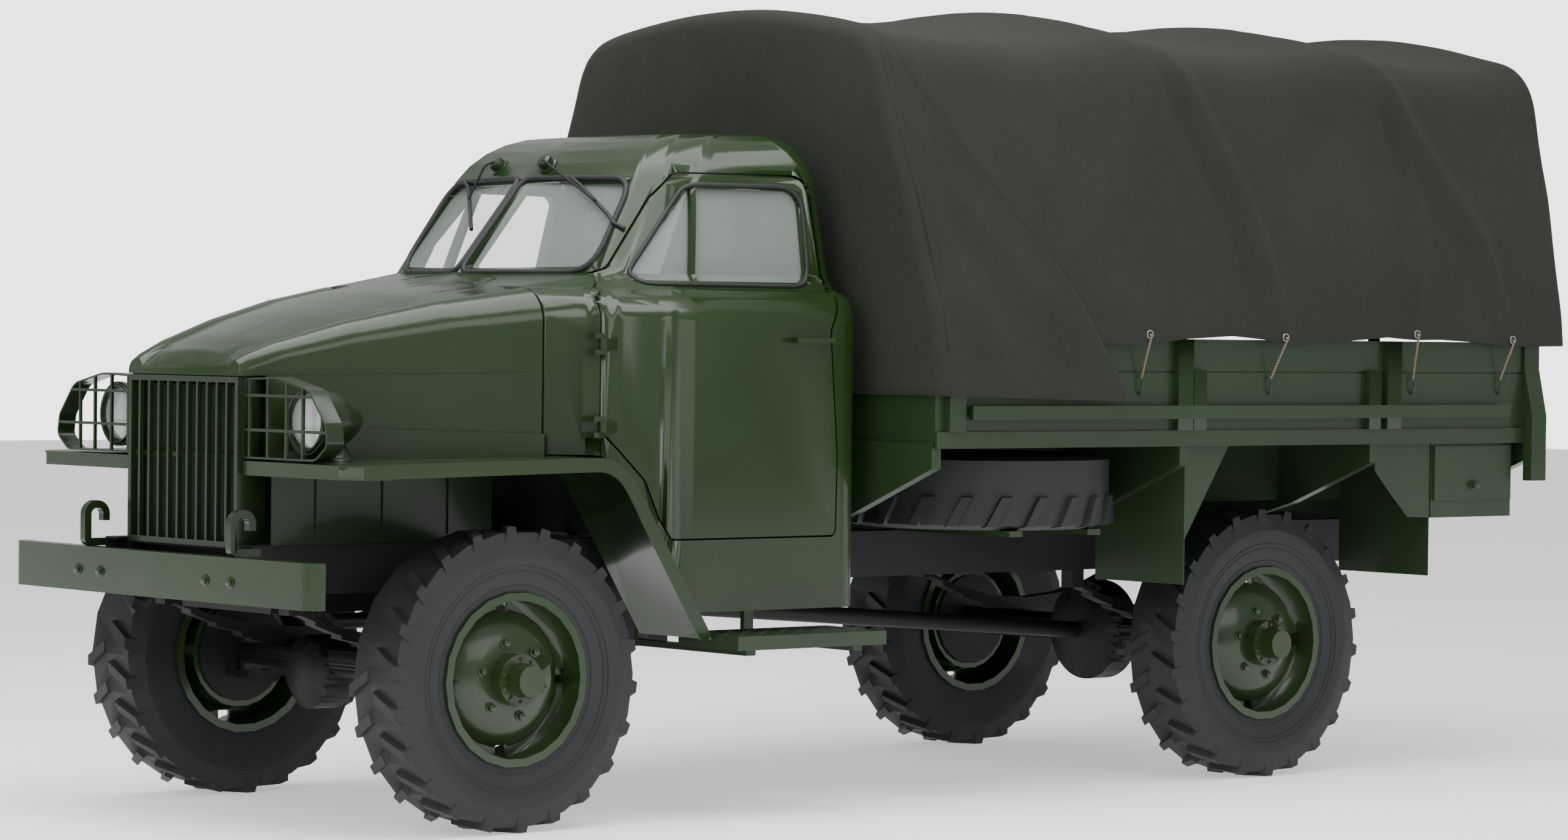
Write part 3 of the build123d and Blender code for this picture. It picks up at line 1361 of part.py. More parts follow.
save(mirror(door.part, about=Plane.XZ), "door_right")

# Cab floor with its toe board and the seat's base
seat_x = (at(seat_back_ahead), at(seat_front_ahead))
floor_top = cab_floor_z + cab_floor_thick / 2
with BuildPart() as cab_floor:
    floor_line = [(at(cab_outlines[0][1]) - cab_wall, cab_toe_top_z),
                  (at(cab_toe_top_ahead), cab_toe_top_z), (at(cab_toe_ahead), cab_floor_z),
                  (at(cab_outlines[0][9]) + cab_wall / 2, cab_floor_z)]
    extrude(bar(side_plane(bed_half), floor_line, [cab_floor_thick, cab_floor_thick],
                cab_floor_thick), amount=2 * bed_half)
    add(cab_form(cab_wall + seat_gap), mode=Mode.INTERSECT)
    block(seat_x, (-seat_half, seat_half), (floor_top, seat_base_top))
save(cab_floor.part, "cab_floor")

with BuildPart() as seat:
    block(seat_x, (-seat_half, seat_half), (seat_base_top + seat_gap, seat_top))
    block((at(seat_back_ahead), at(seat_back_ahead) + seat_rest_thick), (-seat_half, seat_half),
          (seat_top + seat_gap, seat_rest_top))
save(seat.part, "seat_cushions")

# Dash panel, steering column and wheel
with BuildPart() as dash:
    block((at(dash_back_ahead), at(cab_outlines[0][2]) - cab_wall - seat_gap),
          (-dash_half, dash_half), (dash_bottom, dash_top))
save(dash.part, "dash_panel")

lean = radians(steering_tilt)
wheel_centre = Vector(at(steering_ahead), steering_y, steering_z)
wheel_normal = Vector(-sin(lean), 0, cos(lean))
column_foot = wheel_centre - wheel_normal * steering_column_length
with BuildPart() as steering:
    with BuildSketch(Plane(origin=wheel_centre, x_dir=(0, 1, 0), z_dir=wheel_normal)) as rim_ring:
        RegularPolygon(steering_wheel_radius, rim_sides)
        RegularPolygon(steering_wheel_radius - steering_rim, rim_sides, mode=Mode.SUBTRACT)
        Rectangle(2 * steering_wheel_radius - steering_rim, steering_spoke)
        Circle(steering_column_radius * 2)
    extrude(rim_ring.sketch, amount=steering_rim)
    with BuildSketch(Plane(origin=column_foot, x_dir=(0, 1, 0), z_dir=wheel_normal)) as column:
        RegularPolygon(steering_column_radius, shaft_sides)
    extrude(column.sketch, amount=steering_column_length)
save(steering.part, "steering_column")

# Steps, each on two brackets from the frame
with BuildPart() as steps:
    block((at(step_rear_ahead), at(step_front_ahead)), (step_inner, step_outer),
          (step_top - step_thick, step_top))
    for ahead in step_bracket_ahead:
        arm_x = (at(ahead) - step_bracket / 2, at(ahead) + step_bracket / 2)
        block(arm_x, (rail_rear_half - step_bracket, step_outer - step_bracket),
              (step_top - step_thick - step_bracket / 2, step_top - step_thick))
        block(arm_x, (rail_rear_half - step_bracket, rail_rear_half - step_bracket / 2),
              (step_top - step_thick - step_bracket / 2, rail_bottom - seat_gap))
    mirror(about=Plane.XZ)
save(steps.part, "steps")

# Cargo bed: bearers, floor, front panel and sides
bed_x = (at(bed_rear_ahead), at(bed_front_ahead))
bearer_top = bed_floor_z - seat_gap
with BuildPart() as bearers:
    lower = [(y, z) for y, z in bearer_outline]
    mirrored = [(-y, z) for y, z in reversed(lower)]
    top = [(-bearer_outline[0][0], bearer_top), (bearer_outline[0][0], bearer_top)]
    for ahead in bearer_ahead:
        with BuildSketch(front_plane(at(ahead) - bearer_depth)) as face:
            with BuildLine():
                Polyline(*(top + lower + mirrored), close=True)
            make_face()
        extrude(face.sketch, amount=bearer_depth)
        with BuildSketch(front_plane(at(ahead) - bearer_depth)) as pan:
            add(face.sketch.faces())
            offset(amount=-plate_steel, kind=Kind.INTERSECTION)
        extrude(pan.sketch, amount=bearer_depth - plate_steel, mode=Mode.SUBTRACT)
save(bearers.part, "bed_bearers")

with BuildPart() as floor:
    block(bed_x, (-bed_half - bed_rail_thick, bed_half + bed_rail_thick),
          (bed_floor_z, bed_floor_z + bed_floor_thick))
    for side in (-1, 1):
        block(bed_x, (side * (bed_half + seat_gap), side * (bed_half + bed_rail_thick)),
              (bed_rail_bottom, bed_rail_top))
save(floor.part, "bed_floor")

deck = bed_floor_z + bed_floor_thick + seat_gap
with BuildPart() as bed_front:
    block((at(bed_front_ahead) - bed_board, at(bed_front_ahead)),
          (bed_board - bed_half + seat_gap, bed_half - bed_board - seat_gap),
          (deck, bed_side_top))
save(bed_front.part, "bed_front_panel")

with BuildPart() as bed_sides:
    block(bed_x, (bed_half - bed_board, bed_half), (deck, bed_side_top))
    block((bed_x[0] - overrun, bed_x[1] + overrun), (bed_half - bed_seam, bed_half + bed_seam),
          (bed_seam_z - bed_seam / 2, bed_seam_z + bed_seam / 2), Mode.SUBTRACT)
    mirror(about=Plane.XZ)
save(bed_sides.part, "bed_sides")

post_y = (bed_half + seat_gap, bed_half + post_thick)
with BuildPart() as posts:
    for ahead in post_ahead:
        block((at(ahead) - post_width / 2, at(ahead) + post_width / 2), post_y,
              (bed_rail_top + seat_gap, bed_side_top))
    for ahead in pocket_ahead:
        block((at(ahead) - pocket_width / 2, at(ahead) + pocket_width / 2), post_y,
              (bed_rail_top + seat_gap, bed_seam_z + bed_seam))
    rail_y = bed_half + post_thick
    block((at(side_rail_rear_ahead), at(side_rail_front_ahead)),
          (rail_y, rail_y + side_rail_thick), (side_rail_bottom, side_rail_top))
    rear_wall = [(bed_half + bed_rail_thick + seat_gap, corner_post_outer[0][1]),
                 (bed_half + bed_rail_thick + seat_gap, bed_rail_top + seat_gap),
                 (bed_half + seat_gap, bed_rail_top + seat_gap),
                 (bed_half + seat_gap, bed_side_top)]
    corner = [(y, z) for y, z in corner_post_outer] + list(reversed(rear_wall))
    extrude(outline(front_plane(at(corner_post_rear_ahead)), corner),
            amount=corner_post_front_ahead - corner_post_rear_ahead)
    mirror(about=Plane.XZ)
save(posts.part, "bed_posts")

gate_back = at(bed_rear_ahead) - seat_gap
gate_bottom = bed_floor_z + running_gap
with BuildPart() as tailgate:
    block((gate_back - tailgate_thick, gate_back), (-tailgate_half, tailgate_half),
          (gate_bottom, tailgate_top))
    for share in (0.0, 0.5, 1.0):
        y = (share - 0.5) * 2 * (tailgate_half - post_width / 2)
        block((gate_back - tailgate_thick - tailgate_rib, gate_back - tailgate_thick),
              (y - post_width / 2, y + post_width / 2), (gate_bottom, tailgate_top))
save(tailgate.part, "tailgate")

# Rear mudguards: flaps across the car, gussets and inner panels along it
guard_top = bed_floor_z - seat_gap
front_flap_x = at(bearer_ahead[1]) - bearer_depth - seat_gap
with BuildPart() as mudguards:
    block((front_flap_x - sheet, front_flap_x), (flap_inner, flap_outer),
          (flap_bottom, guard_top))
    block((at(guard_rear_ahead) - sheet, at(guard_rear_ahead)), (flap_inner, flap_outer),
          (flap_bottom, guard_top))
    for gusset in (gusset_front, gusset_rear):
        points = [(at(x), min(z, guard_top)) for x, z in gusset]
        extrude(outline(side_plane(flap_outer), points), amount=sheet)
    third = at(bearer_ahead[2])
    for x in ((third + seat_gap, front_flap_x),
              (at(guard_rear_ahead), third - bearer_depth - seat_gap)):
        block(x, (flap_inner, flap_inner + sheet), (guard_panel_bottom, guard_top))
    mirror(about=Plane.XZ)
save(mudguards.part, "rear_mudguards")

# Lockers behind the rear wheels, with lids hinged along their lower edge
lid_y = (locker_outer - locker_wall, locker_outer)
with BuildPart() as lockers:
    block((at(locker_rear_ahead), at(locker_front_ahead)),
          (locker_inner, locker_outer - locker_wall - seat_gap), (locker_bottom, guard_top))
    block((at(locker_rear_ahead) + locker_wall, at(locker_front_ahead) - locker_wall),
          (locker_inner + locker_wall, locker_outer - 2 * locker_wall),
          (locker_bottom + locker_wall, guard_top - locker_wall), Mode.SUBTRACT)
    block((at(locker_rear_ahead) + locker_wall + lid_rebate,
           at(locker_front_ahead) - locker_wall - lid_rebate),
          (locker_outer - 3 * locker_wall, locker_outer),
          (lid_bottom + lid_rebate, lid_top - lid_rebate), Mode.SUBTRACT)
    mirror(about=Plane.XZ)
save(lockers.part, "lockers")

with BuildPart() as lid:
    block((at(locker_rear_ahead) + locker_wall, at(locker_front_ahead) - locker_wall),
          lid_y, (lid_bottom, lid_top))
save(lid.part, "locker_lid_left")
save(mirror(lid.part, about=Plane.XZ), "locker_lid_right")

# Spare wheel carrier across the frame rails
with BuildPart() as carrier:
    for ahead in spare_carrier_ahead:
        block((at(ahead) - spare_carrier_bar / 2, at(ahead) + spare_carrier_bar / 2),
              (-rail_rear_half, spare_carrier_outer),
              (rail_top + seat_gap, rail_top + seat_gap + spare_carrier_height))
save(carrier.part, "spare_carrier")

# Canopy: cloth over bows, lofted through sections that sag between the bows


def canopy_line(row, inset, foot=False):
    """Give the arched section's points and radii, moved inwards by the inset."""
    (ahead, crown, roof_half, roof_z, corner_half, corner_z,
     middle_half, middle_z, hem_half, hem_z) = row
    return {"roof": (roof_half, roof_z - inset), "crown": crown - inset,
            "corner": (corner_half - inset, corner_z),
            "bulge": ((roof_half + corner_half) / 2 * 1.03 - inset * canopy_corner_share,
                      (roof_z * canopy_corner_share + corner_z * (1 - canopy_corner_share))
                      - inset * canopy_corner_share),
            "middle": (middle_half - inset, middle_z), "hem": (hem_half - inset, hem_z)}


def canopy_section(row, inset):
    """Draw one closed section of the canopy, flat across its hem."""
    line = canopy_line(row, inset)
    hem_y, hem_z = line["hem"]
    low = hem_z - (overrun if inset else 0)
    with BuildSketch(front_plane(at(row[0]))) as drawn:
        with BuildLine():
            Line((-hem_y, low), (hem_y, low))
            Polyline((hem_y, low), line["middle"], line["corner"])
            ThreePointArc(line["corner"], line["bulge"], line["roof"])
            ThreePointArc(line["roof"], (0, line["crown"]), (-line["roof"][0], line["roof"][1]))
            ThreePointArc((-line["roof"][0], line["roof"][1]),
                          (-line["bulge"][0], line["bulge"][1]),
                          (-line["corner"][0], line["corner"][1]))
            Polyline((-line["corner"][0], line["corner"][1]),
                     (-line["middle"][0], line["middle"][1]), (-hem_y, low))
        make_face()
    return drawn.sketch


def canopy_shell(thick):
    """Give the canopy's open shell of one thickness."""
    inner = [list(row) for row in canopy_sections]
    inner[0][0] += overrun
    inner[-1][0] -= overrun
    with BuildPart() as shell:
        loft([canopy_section(row, 0) for row in canopy_sections], ruled=True)
        loft([canopy_section(row, thick) for row in inner], ruled=True, mode=Mode.SUBTRACT)
    return shell.part


def canopy_row(ahead):
    """Give the canopy's section at any place, by lines between the listed ones."""
    for front, rear in zip(canopy_sections, canopy_sections[1:]):
        if ahead >= rear[0]:
            break
    share = (ahead - front[0]) / (rear[0] - front[0])
    return [a + (b - a) * share for a, b in zip(front, rear)]


canopy_x = (at(canopy_sections[-1][0]) - overrun, at(canopy_sections[0][0]) + overrun)
canopy_y = (-2 * bed_half, 2 * bed_half)
with BuildPart() as canopy_roof:
    add(canopy_shell(canopy_thick))
    block(canopy_x, canopy_y, (0, canopy_split_z), Mode.SUBTRACT)
save(canopy_roof.part, "canopy_roof")

with BuildPart() as canopy_sides:
    add(canopy_shell(canopy_thick))
    block(canopy_x, canopy_y, (canopy_split_z - seat_gap, 2 * canopy_split_z), Mode.SUBTRACT)
    flap = [(at(x), z) for x, z in flap_edge]
    for side in (-1, 1):
        extrude(outline(side_plane(side * flap_cloth_y), flap), amount=-side * canopy_thick * 0.8)
save(canopy_sides.part, "canopy_sides")

with BuildPart() as canopy_front:
    front_x = at(canopy_sections[0][0]) + seat_gap
    front_line = canopy_line(canopy_sections[0], 0)
    front_hem = front_line["hem"][0]
    extrude(canopy_section(canopy_sections[0], 0).moved(Location((seat_gap, 0, 0))),
            amount=canopy_thick)
    block((front_x, front_x + canopy_thick), (-front_hem, front_hem),
          (canopy_front_bottom, canopy_sections[0][9] + overrun / 4))
save(canopy_front.part, "canopy_front")

# Bows: flat bars bent under the canopy and standing inside the bed's sides
with BuildPart() as bows:
    for station in bow_stations:
        foot_y = bed_half - bed_board - seat_gap - bow_bar / 2
        ahead = canopy_sections[station][0]
        if station == bow_stations[0]:
            ahead -= bow_inset_ahead
        if station == bow_stations[-1]:
            ahead = bed_rear_ahead + bow_bar
        edges = [canopy_row(ahead - bow_bar / 2), canopy_row(ahead + bow_bar / 2)]
        row = [min(pair) for pair in zip(*edges)]
        line = canopy_line(row, canopy_thick + 2 * seat_gap + bow_bar / 2)
        with BuildSketch(front_plane(at(ahead) - bow_bar / 2)) as hoop:
            with BuildLine() as path:
                Polyline((foot_y, bow_foot_z), (foot_y, bed_side_top), line["corner"])
                ThreePointArc(line["corner"], line["bulge"], line["roof"])
                ThreePointArc(line["roof"], (0, line["crown"]),
                              (-line["roof"][0], line["roof"][1]))
                ThreePointArc((-line["roof"][0], line["roof"][1]),
                              (-line["bulge"][0], line["bulge"][1]),
                              (-line["corner"][0], line["corner"][1]))
                Polyline((-line["corner"][0], line["corner"][1]), (-foot_y, bed_side_top),
                         (-foot_y, bow_foot_z))
            trace(path.line, line_width=bow_bar)
        extrude(hoop.sketch, amount=bow_bar)
    add(canopy_shell(canopy_thick + seat_gap), mode=Mode.SUBTRACT)
save(bows.part, "canopy_bows")
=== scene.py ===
# %% [markdown]
# A light military cargo truck with a canvas canopy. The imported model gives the
# frame: every solid already has its true size and place, in metres, with +X
# forward, +Y to the truck's left and +Z up. This lesson adds what a solid model
# leaves out, such as paint, cloth, rope, seals and bolts.

# %% Load the frame
from math import atan2, cos, hypot, pi, radians, sin

import bpy
from mathutils import Matrix, Vector, noise


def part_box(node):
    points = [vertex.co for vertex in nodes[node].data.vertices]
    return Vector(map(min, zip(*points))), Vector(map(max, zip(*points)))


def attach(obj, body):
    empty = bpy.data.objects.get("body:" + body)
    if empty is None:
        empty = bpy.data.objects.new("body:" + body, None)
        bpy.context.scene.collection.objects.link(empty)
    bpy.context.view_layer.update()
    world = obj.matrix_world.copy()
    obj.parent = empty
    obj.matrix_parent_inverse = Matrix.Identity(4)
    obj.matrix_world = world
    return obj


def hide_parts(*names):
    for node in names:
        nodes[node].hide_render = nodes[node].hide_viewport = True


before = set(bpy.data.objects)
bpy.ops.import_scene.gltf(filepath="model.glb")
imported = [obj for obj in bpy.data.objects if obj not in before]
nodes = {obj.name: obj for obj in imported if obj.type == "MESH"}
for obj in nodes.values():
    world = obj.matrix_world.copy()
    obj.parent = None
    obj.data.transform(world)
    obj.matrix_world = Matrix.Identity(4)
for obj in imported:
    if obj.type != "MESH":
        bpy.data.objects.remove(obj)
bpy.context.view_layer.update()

# %% [markdown]
# The camera comes first, because every later choice is judged through it. Its
# place and lens were worked out from the vanishing lines of the photograph, so
# the truck falls on the same outline with no fitting by eye.

# %% Place the camera
forward = Vector((-0.64739596, -0.76189919, -0.0197001))
right = Vector((-0.76214428, 0.64730096, 0.01172845))
upward = Vector((-0.00381599, -0.02260727, 0.99973714))
bpy.ops.object.camera_add(location=(10.5131, 12.2666, 1.5658))
camera = bpy.context.object
turn = Matrix((right, upward, -forward)).transposed()
camera.rotation_euler = turn.to_euler()
camera.data.lens = 106.815
camera.data.sensor_width = 36.0
camera.data.clip_end = 200.0
bpy.context.scene.camera = camera
print("camera stands at", tuple(round(v, 2) for v in camera.location))

# %% [markdown]
# A studio is a pale floor and large soft lights. One broad light hangs over the
# truck for the bright tops of bonnet and roof, a second stands to the front left
# for the near side, and a white world fills the shadows.

# %% Build the studio
bpy.ops.object.select_all(action="DESELECT")
bpy.ops.mesh.primitive_plane_add(size=80.0, location=(0, 0, 0))
floor = bpy.context.object
floor.name = "studio_floor"

floor_paint = bpy.data.materials.new("studio_floor")
floor_paint.use_nodes = True
floor_shader = floor_paint.node_tree.nodes["Principled BSDF"]
floor_shader.inputs["Base Color"].default_value = (0.97, 0.97, 0.97, 1.0)
floor_shader.inputs["Roughness"].default_value = 0.9
floor_shader.inputs["Emission Color"].default_value = (1.0, 1.0, 1.0, 1.0)
floor_shader.inputs["Emission Strength"].default_value = 0.55
floor.data.materials.append(floor_paint)


def add_softbox(name, place, target, size, power):
    """Add a broad rectangular light that faces a point."""
    bpy.ops.object.light_add(type="AREA", location=place)
    light = bpy.context.object
    light.name = name
    light.data.shape = "RECTANGLE"
    light.data.size = size[0]
    light.data.size_y = size[1]
    light.data.energy = power
    light.rotation_euler = (Vector(target) - Vector(place)).to_track_quat("-Z", "Y").to_euler()
    return light


add_softbox("light_over", (1.5, 1.0, 7.5), (0, 0, 0.8), (9.0, 6.0), 800.0)
add_softbox("light_front", (9.0, 3.5, 5.0), (1.0, 0, 1.0), (5.0, 4.0), 300.0)
add_softbox("light_side", (1.0, 11.0, 5.5), (0, 0, 1.2), (9.0, 4.0), 300.0)

world = bpy.data.worlds.new("studio")
bpy.context.scene.world = world
world.use_nodes = True
sky = world.node_tree.nodes["Background"]
sky.inputs["Color"].default_value = (1.0, 1.0, 1.0, 1.0)
straight = world.node_tree.nodes.new("ShaderNodeLightPath").outputs["Is Camera Ray"]
backdrop = world.node_tree.nodes.new("ShaderNodeMapRange")
backdrop.inputs["To Min"].default_value = 0.55
backdrop.inputs["To Max"].default_value = 3.2
world.node_tree.links.new(straight, backdrop.inputs["Value"])
world.node_tree.links.new(backdrop.outputs["Result"], sky.inputs["Strength"])

# %% [markdown]
# Several finishes share the same effects, so each effect is a node group built
# once. A group gives out only colours, values and normals, and the shader itself
# stays in the material. First comes a helper that makes an empty group with
# named sockets.


# %% Make node groups
def new_group(name, inputs, outputs):
    """Make a node group with named float, colour or vector sockets."""
    group = bpy.data.node_groups.new(name, "ShaderNodeTree")
    kinds = {"f": "NodeSocketFloat", "c": "NodeSocketColor", "v": "NodeSocketVector"}
    for label, kind, value in inputs:
        socket = group.interface.new_socket(label, in_out="INPUT", socket_type=kinds[kind])
        socket.default_value = value
    for label, kind in outputs:
        group.interface.new_socket(label, in_out="OUTPUT", socket_type=kinds[kind])
    return group, group.nodes.new("NodeGroupInput"), group.nodes.new("NodeGroupOutput")


def add_noise(tree, vector, scale, detail=4.0):
    """Add a noise texture read at a vector."""
    grain = tree.nodes.new("ShaderNodeTexNoise")
    grain.inputs["Scale"].default_value = scale
    grain.inputs["Detail"].default_value = detail
    tree.links.new(vector, grain.inputs["Vector"])
    return grain.outputs["Fac"]


def add_range(tree, value, low, high, to_low=0.0, to_high=1.0):
    """Stretch one range of a value onto another."""
    spread = tree.nodes.new("ShaderNodeMapRange")
    spread.inputs["From Min"].default_value = low
    spread.inputs["From Max"].default_value = high
    spread.inputs["To Min"].default_value = to_low
    spread.inputs["To Max"].default_value = to_high
    tree.links.new(value, spread.inputs["Value"])
    return spread.outputs["Result"]


def add_math(tree, operation, *values):
    """Add one arithmetic step on sockets or numbers."""
    step = tree.nodes.new("ShaderNodeMath")
    step.operation = operation
    for socket, value in zip(step.inputs, values):
        if isinstance(value, (int, float)):
            socket.default_value = value
        else:
            tree.links.new(value, socket)
    return step.outputs[0]


def add_mix(tree, share, first, second):
    """Mix two colours by a share."""
    mixer = tree.nodes.new("ShaderNodeMix")
    mixer.data_type = "RGBA"
    tree.links.new(share, mixer.inputs["Factor"])
    for value, socket in ((first, mixer.inputs[6]), (second, mixer.inputs[7])):
        if isinstance(value, tuple):
            socket.default_value = value
        else:
            tree.links.new(value, socket)
    return mixer.outputs[2]


# %% [markdown]
# Army paint is not one flat green. It is a little darker and lighter in broad
# clouds, has a faint orange-peel ripple, and carries a thin film of road dust
# that grows towards the ground.

# %% Build the paint effect
dusty_paint, paint_in, paint_out = new_group(
    "dusty_paint",
    [("Colour", "c", (0.03, 0.06, 0.02, 1.0)), ("Dust colour", "c", (0.16, 0.15, 0.12, 1.0)),
     ("Dust", "f", 0.25), ("Roughness", "f", 0.35), ("Ripple", "f", 0.03)],
    [("Colour", "c"), ("Roughness", "f"), ("Normal", "v")])
where = dusty_paint.nodes.new("ShaderNodeTexCoord").outputs["Object"]
clouds = add_range(dusty_paint, add_noise(dusty_paint, where, 1.7, 5.0), 0.3, 0.7)
specks = add_range(dusty_paint, add_noise(dusty_paint, where, 90.0, 3.0), 0.52, 0.8)
split = dusty_paint.nodes.new("ShaderNodeSeparateXYZ")
dusty_paint.links.new(where, split.inputs[0])
low_down = add_range(dusty_paint, split.outputs["Z"], 1.3, 0.2)
film = add_math(dusty_paint, "MULTIPLY", low_down, paint_in.outputs["Dust"])
film = add_math(dusty_paint, "MULTIPLY", film, add_math(dusty_paint, "ADD", clouds, 0.25))
film = add_math(dusty_paint, "ADD", film, add_math(
    dusty_paint, "MULTIPLY", specks,
    add_math(dusty_paint, "MULTIPLY", paint_in.outputs["Dust"], 0.10)))
shade = dusty_paint.nodes.new("ShaderNodeHueSaturation")
dusty_paint.links.new(paint_in.outputs["Colour"], shade.inputs["Color"])
dusty_paint.links.new(add_range(dusty_paint, clouds, 0, 1, 0.88, 1.1), shade.inputs["Value"])
painted = add_mix(dusty_paint, film, shade.outputs["Color"], paint_in.outputs["Dust colour"])
dusty_paint.links.new(painted, paint_out.inputs["Colour"])
dull = add_math(dusty_paint, "ADD", paint_in.outputs["Roughness"],
                add_math(dusty_paint, "MULTIPLY", film, 0.5))
dull = add_math(dusty_paint, "ADD", dull, add_range(dusty_paint, clouds, 0, 1, -0.03, 0.05))
dusty_paint.links.new(dull, paint_out.inputs["Roughness"])
ripple = dusty_paint.nodes.new("ShaderNodeBump")
ripple.inputs["Distance"].default_value = 0.002
dusty_paint.links.new(paint_in.outputs["Ripple"], ripple.inputs["Strength"])
dusty_paint.links.new(add_noise(dusty_paint, where, 160.0, 2.0), ripple.inputs["Height"])
dusty_paint.links.new(ripple.outputs["Normal"], paint_out.inputs["Normal"])
print("dusty_paint has", len(dusty_paint.nodes), "nodes")


# %% Make the painted finishes
def new_material(name):
    """Make a material and give it with its shader."""
    material = bpy.data.materials.new(name)
    material.use_nodes = True
    return material, material.node_tree, material.node_tree.nodes["Principled BSDF"]


def use_group(tree, shader, group, values):
    """Place a group in a material and feed the shader from it."""
    placed = tree.nodes.new("ShaderNodeGroup")
    placed.node_tree = group
    for label, value in values.items():
        placed.inputs[label].default_value = value
    tree.links.new(placed.outputs["Colour"], shader.inputs["Base Color"])
    tree.links.new(placed.outputs["Roughness"], shader.inputs["Roughness"])
    tree.links.new(placed.outputs["Normal"], shader.inputs["Normal"])
    return placed


def paint_finish(name, colour, roughness, dust, ripple=0.03, coat=0.0):
    """Make one painted finish."""
    material, tree, shader = new_material(name)
    use_group(tree, shader, dusty_paint,
              {"Colour": (*colour, 1.0), "Roughness": roughness, "Dust": dust, "Ripple": ripple})
    shader.inputs["Coat Weight"].default_value = coat
    shader.inputs["Coat Roughness"].default_value = 0.12
    shader.inputs["Specular IOR Level"].default_value = 0.3
    return material


army_green = paint_finish("army_green", (0.011, 0.029, 0.006), 0.25, 0.02, coat=0.35)
grille_green = paint_finish("grille_green", (0.009, 0.023, 0.006), 0.28, 0.02, coat=0.3)
wheel_green = paint_finish("wheel_green", (0.012, 0.031, 0.007), 0.28, 0.03, coat=0.3)
chassis_black = paint_finish("chassis_black", (0.005, 0.0055, 0.006), 0.5, 0.06)
bed_green = paint_finish("bed_green", (0.013, 0.031, 0.010), 0.36, 0.06, coat=0.2)
trim_black = paint_finish("trim_black", (0.01, 0.01, 0.01), 0.55, 0.1)
print("painted finishes are ready")

# %% [markdown]
# Tyre rubber is a bluish black that scatters light softly. The sidewall of a
# real tyre is finely grained, so a small noise lifts it, and a film of dust
# greys the lugs.

# %% Make the rubber finishes
rubber_grain, rubber_in, rubber_out = new_group(
    "rubber_grain",
    [("Colour", "c", (0.02, 0.02, 0.025, 1.0)), ("Worn colour", "c", (0.05, 0.05, 0.055, 1.0)),
     ("Scale", "f", 14.0), ("Roughness", "f", 0.6)],
    [("Colour", "c"), ("Roughness", "f"), ("Normal", "v")])
at_rubber = rubber_grain.nodes.new("ShaderNodeTexCoord").outputs["Object"]
patches = add_range(rubber_grain, add_noise(rubber_grain, at_rubber, 5.0, 6.0), 0.35, 0.75)
pits = add_noise(rubber_grain, at_rubber, 320.0, 2.0)
tinted = add_mix(rubber_grain, add_math(rubber_grain, "MULTIPLY", patches, 0.6),
                 rubber_in.outputs["Colour"], rubber_in.outputs["Worn colour"])
rubber_grain.links.new(tinted, rubber_out.inputs["Colour"])
rubber_grain.links.new(
    add_math(rubber_grain, "ADD", rubber_in.outputs["Roughness"],
             add_math(rubber_grain, "MULTIPLY", patches, 0.12)), rubber_out.inputs["Roughness"])
pitted = rubber_grain.nodes.new("ShaderNodeBump")
pitted.inputs["Strength"].default_value = 0.25
pitted.inputs["Distance"].default_value = 0.0015
rubber_grain.links.new(pits, pitted.inputs["Height"])
rubber_grain.links.new(pitted.outputs["Normal"], rubber_out.inputs["Normal"])


def rubber_finish(name, colour, worn, roughness):
    """Make one rubber finish."""
    material, tree, shader = new_material(name)
    use_group(tree, shader, rubber_grain,
              {"Colour": (*colour, 1.0), "Worn colour": (*worn, 1.0), "Roughness": roughness})
    shader.inputs["Specular IOR Level"].default_value = 0.4
    return material


tyre_rubber = rubber_finish("tyre_rubber", (0.009, 0.010, 0.012), (0.018, 0.019, 0.022), 0.55)
seal_rubber = rubber_finish("seal_rubber", (0.012, 0.013, 0.013), (0.02, 0.02, 0.02), 0.5)
print("rubber finishes are ready")

# %% [markdown]
# The canopy is heavy waxed canvas. Its threads are too fine to model, so two
# sets of fine waves cross each other and lift the surface a little. They follow
# the cloth's own map, which is laid out in metres, so the threads bend with the
# cloth. Broad soft patches stand for damp and sun.

# %% Make the cloth finishes
canvas_weave, weave_in, weave_out = new_group(
    "canvas_weave",
    [("Colour", "c", (0.05, 0.055, 0.045, 1.0)), ("Faded colour", "c", (0.09, 0.1, 0.08, 1.0)),
     ("Threads", "f", 420.0), ("Roughness", "f", 0.85), ("Relief", "f", 0.35)],
    [("Colour", "c"), ("Roughness", "f"), ("Normal", "v")])
cloth_map = canvas_weave.nodes.new("ShaderNodeTexCoord").outputs["UV"]
in_space = canvas_weave.nodes.new("ShaderNodeTexCoord").outputs["Object"]
apart = canvas_weave.nodes.new("ShaderNodeSeparateXYZ")
canvas_weave.links.new(cloth_map, apart.inputs[0])
warp = add_math(canvas_weave, "SINE", add_math(
    canvas_weave, "MULTIPLY", apart.outputs["X"],
    add_math(canvas_weave, "MULTIPLY", weave_in.outputs["Threads"], 2 * pi)))
weft = add_math(canvas_weave, "SINE", add_math(
    canvas_weave, "MULTIPLY", apart.outputs["Y"],
    add_math(canvas_weave, "MULTIPLY", weave_in.outputs["Threads"], 2 * pi)))
threads = add_range(canvas_weave, add_math(canvas_weave, "MULTIPLY", warp, weft), -1, 1)
stains = add_range(canvas_weave, add_noise(canvas_weave, in_space, 1.3, 6.0), 0.32, 0.72)
slubs = add_range(canvas_weave, add_noise(canvas_weave, in_space, 60.0, 3.0), 0.3, 0.7)
faded = add_math(canvas_weave, "ADD", add_math(canvas_weave, "MULTIPLY", stains, 0.55),
                 add_math(canvas_weave, "MULTIPLY", slubs, 0.22))
faded = add_math(canvas_weave, "ADD", faded, add_math(canvas_weave, "MULTIPLY", threads, 0.12))
dyed = add_mix(canvas_weave, faded, weave_in.outputs["Colour"], weave_in.outputs["Faded colour"])
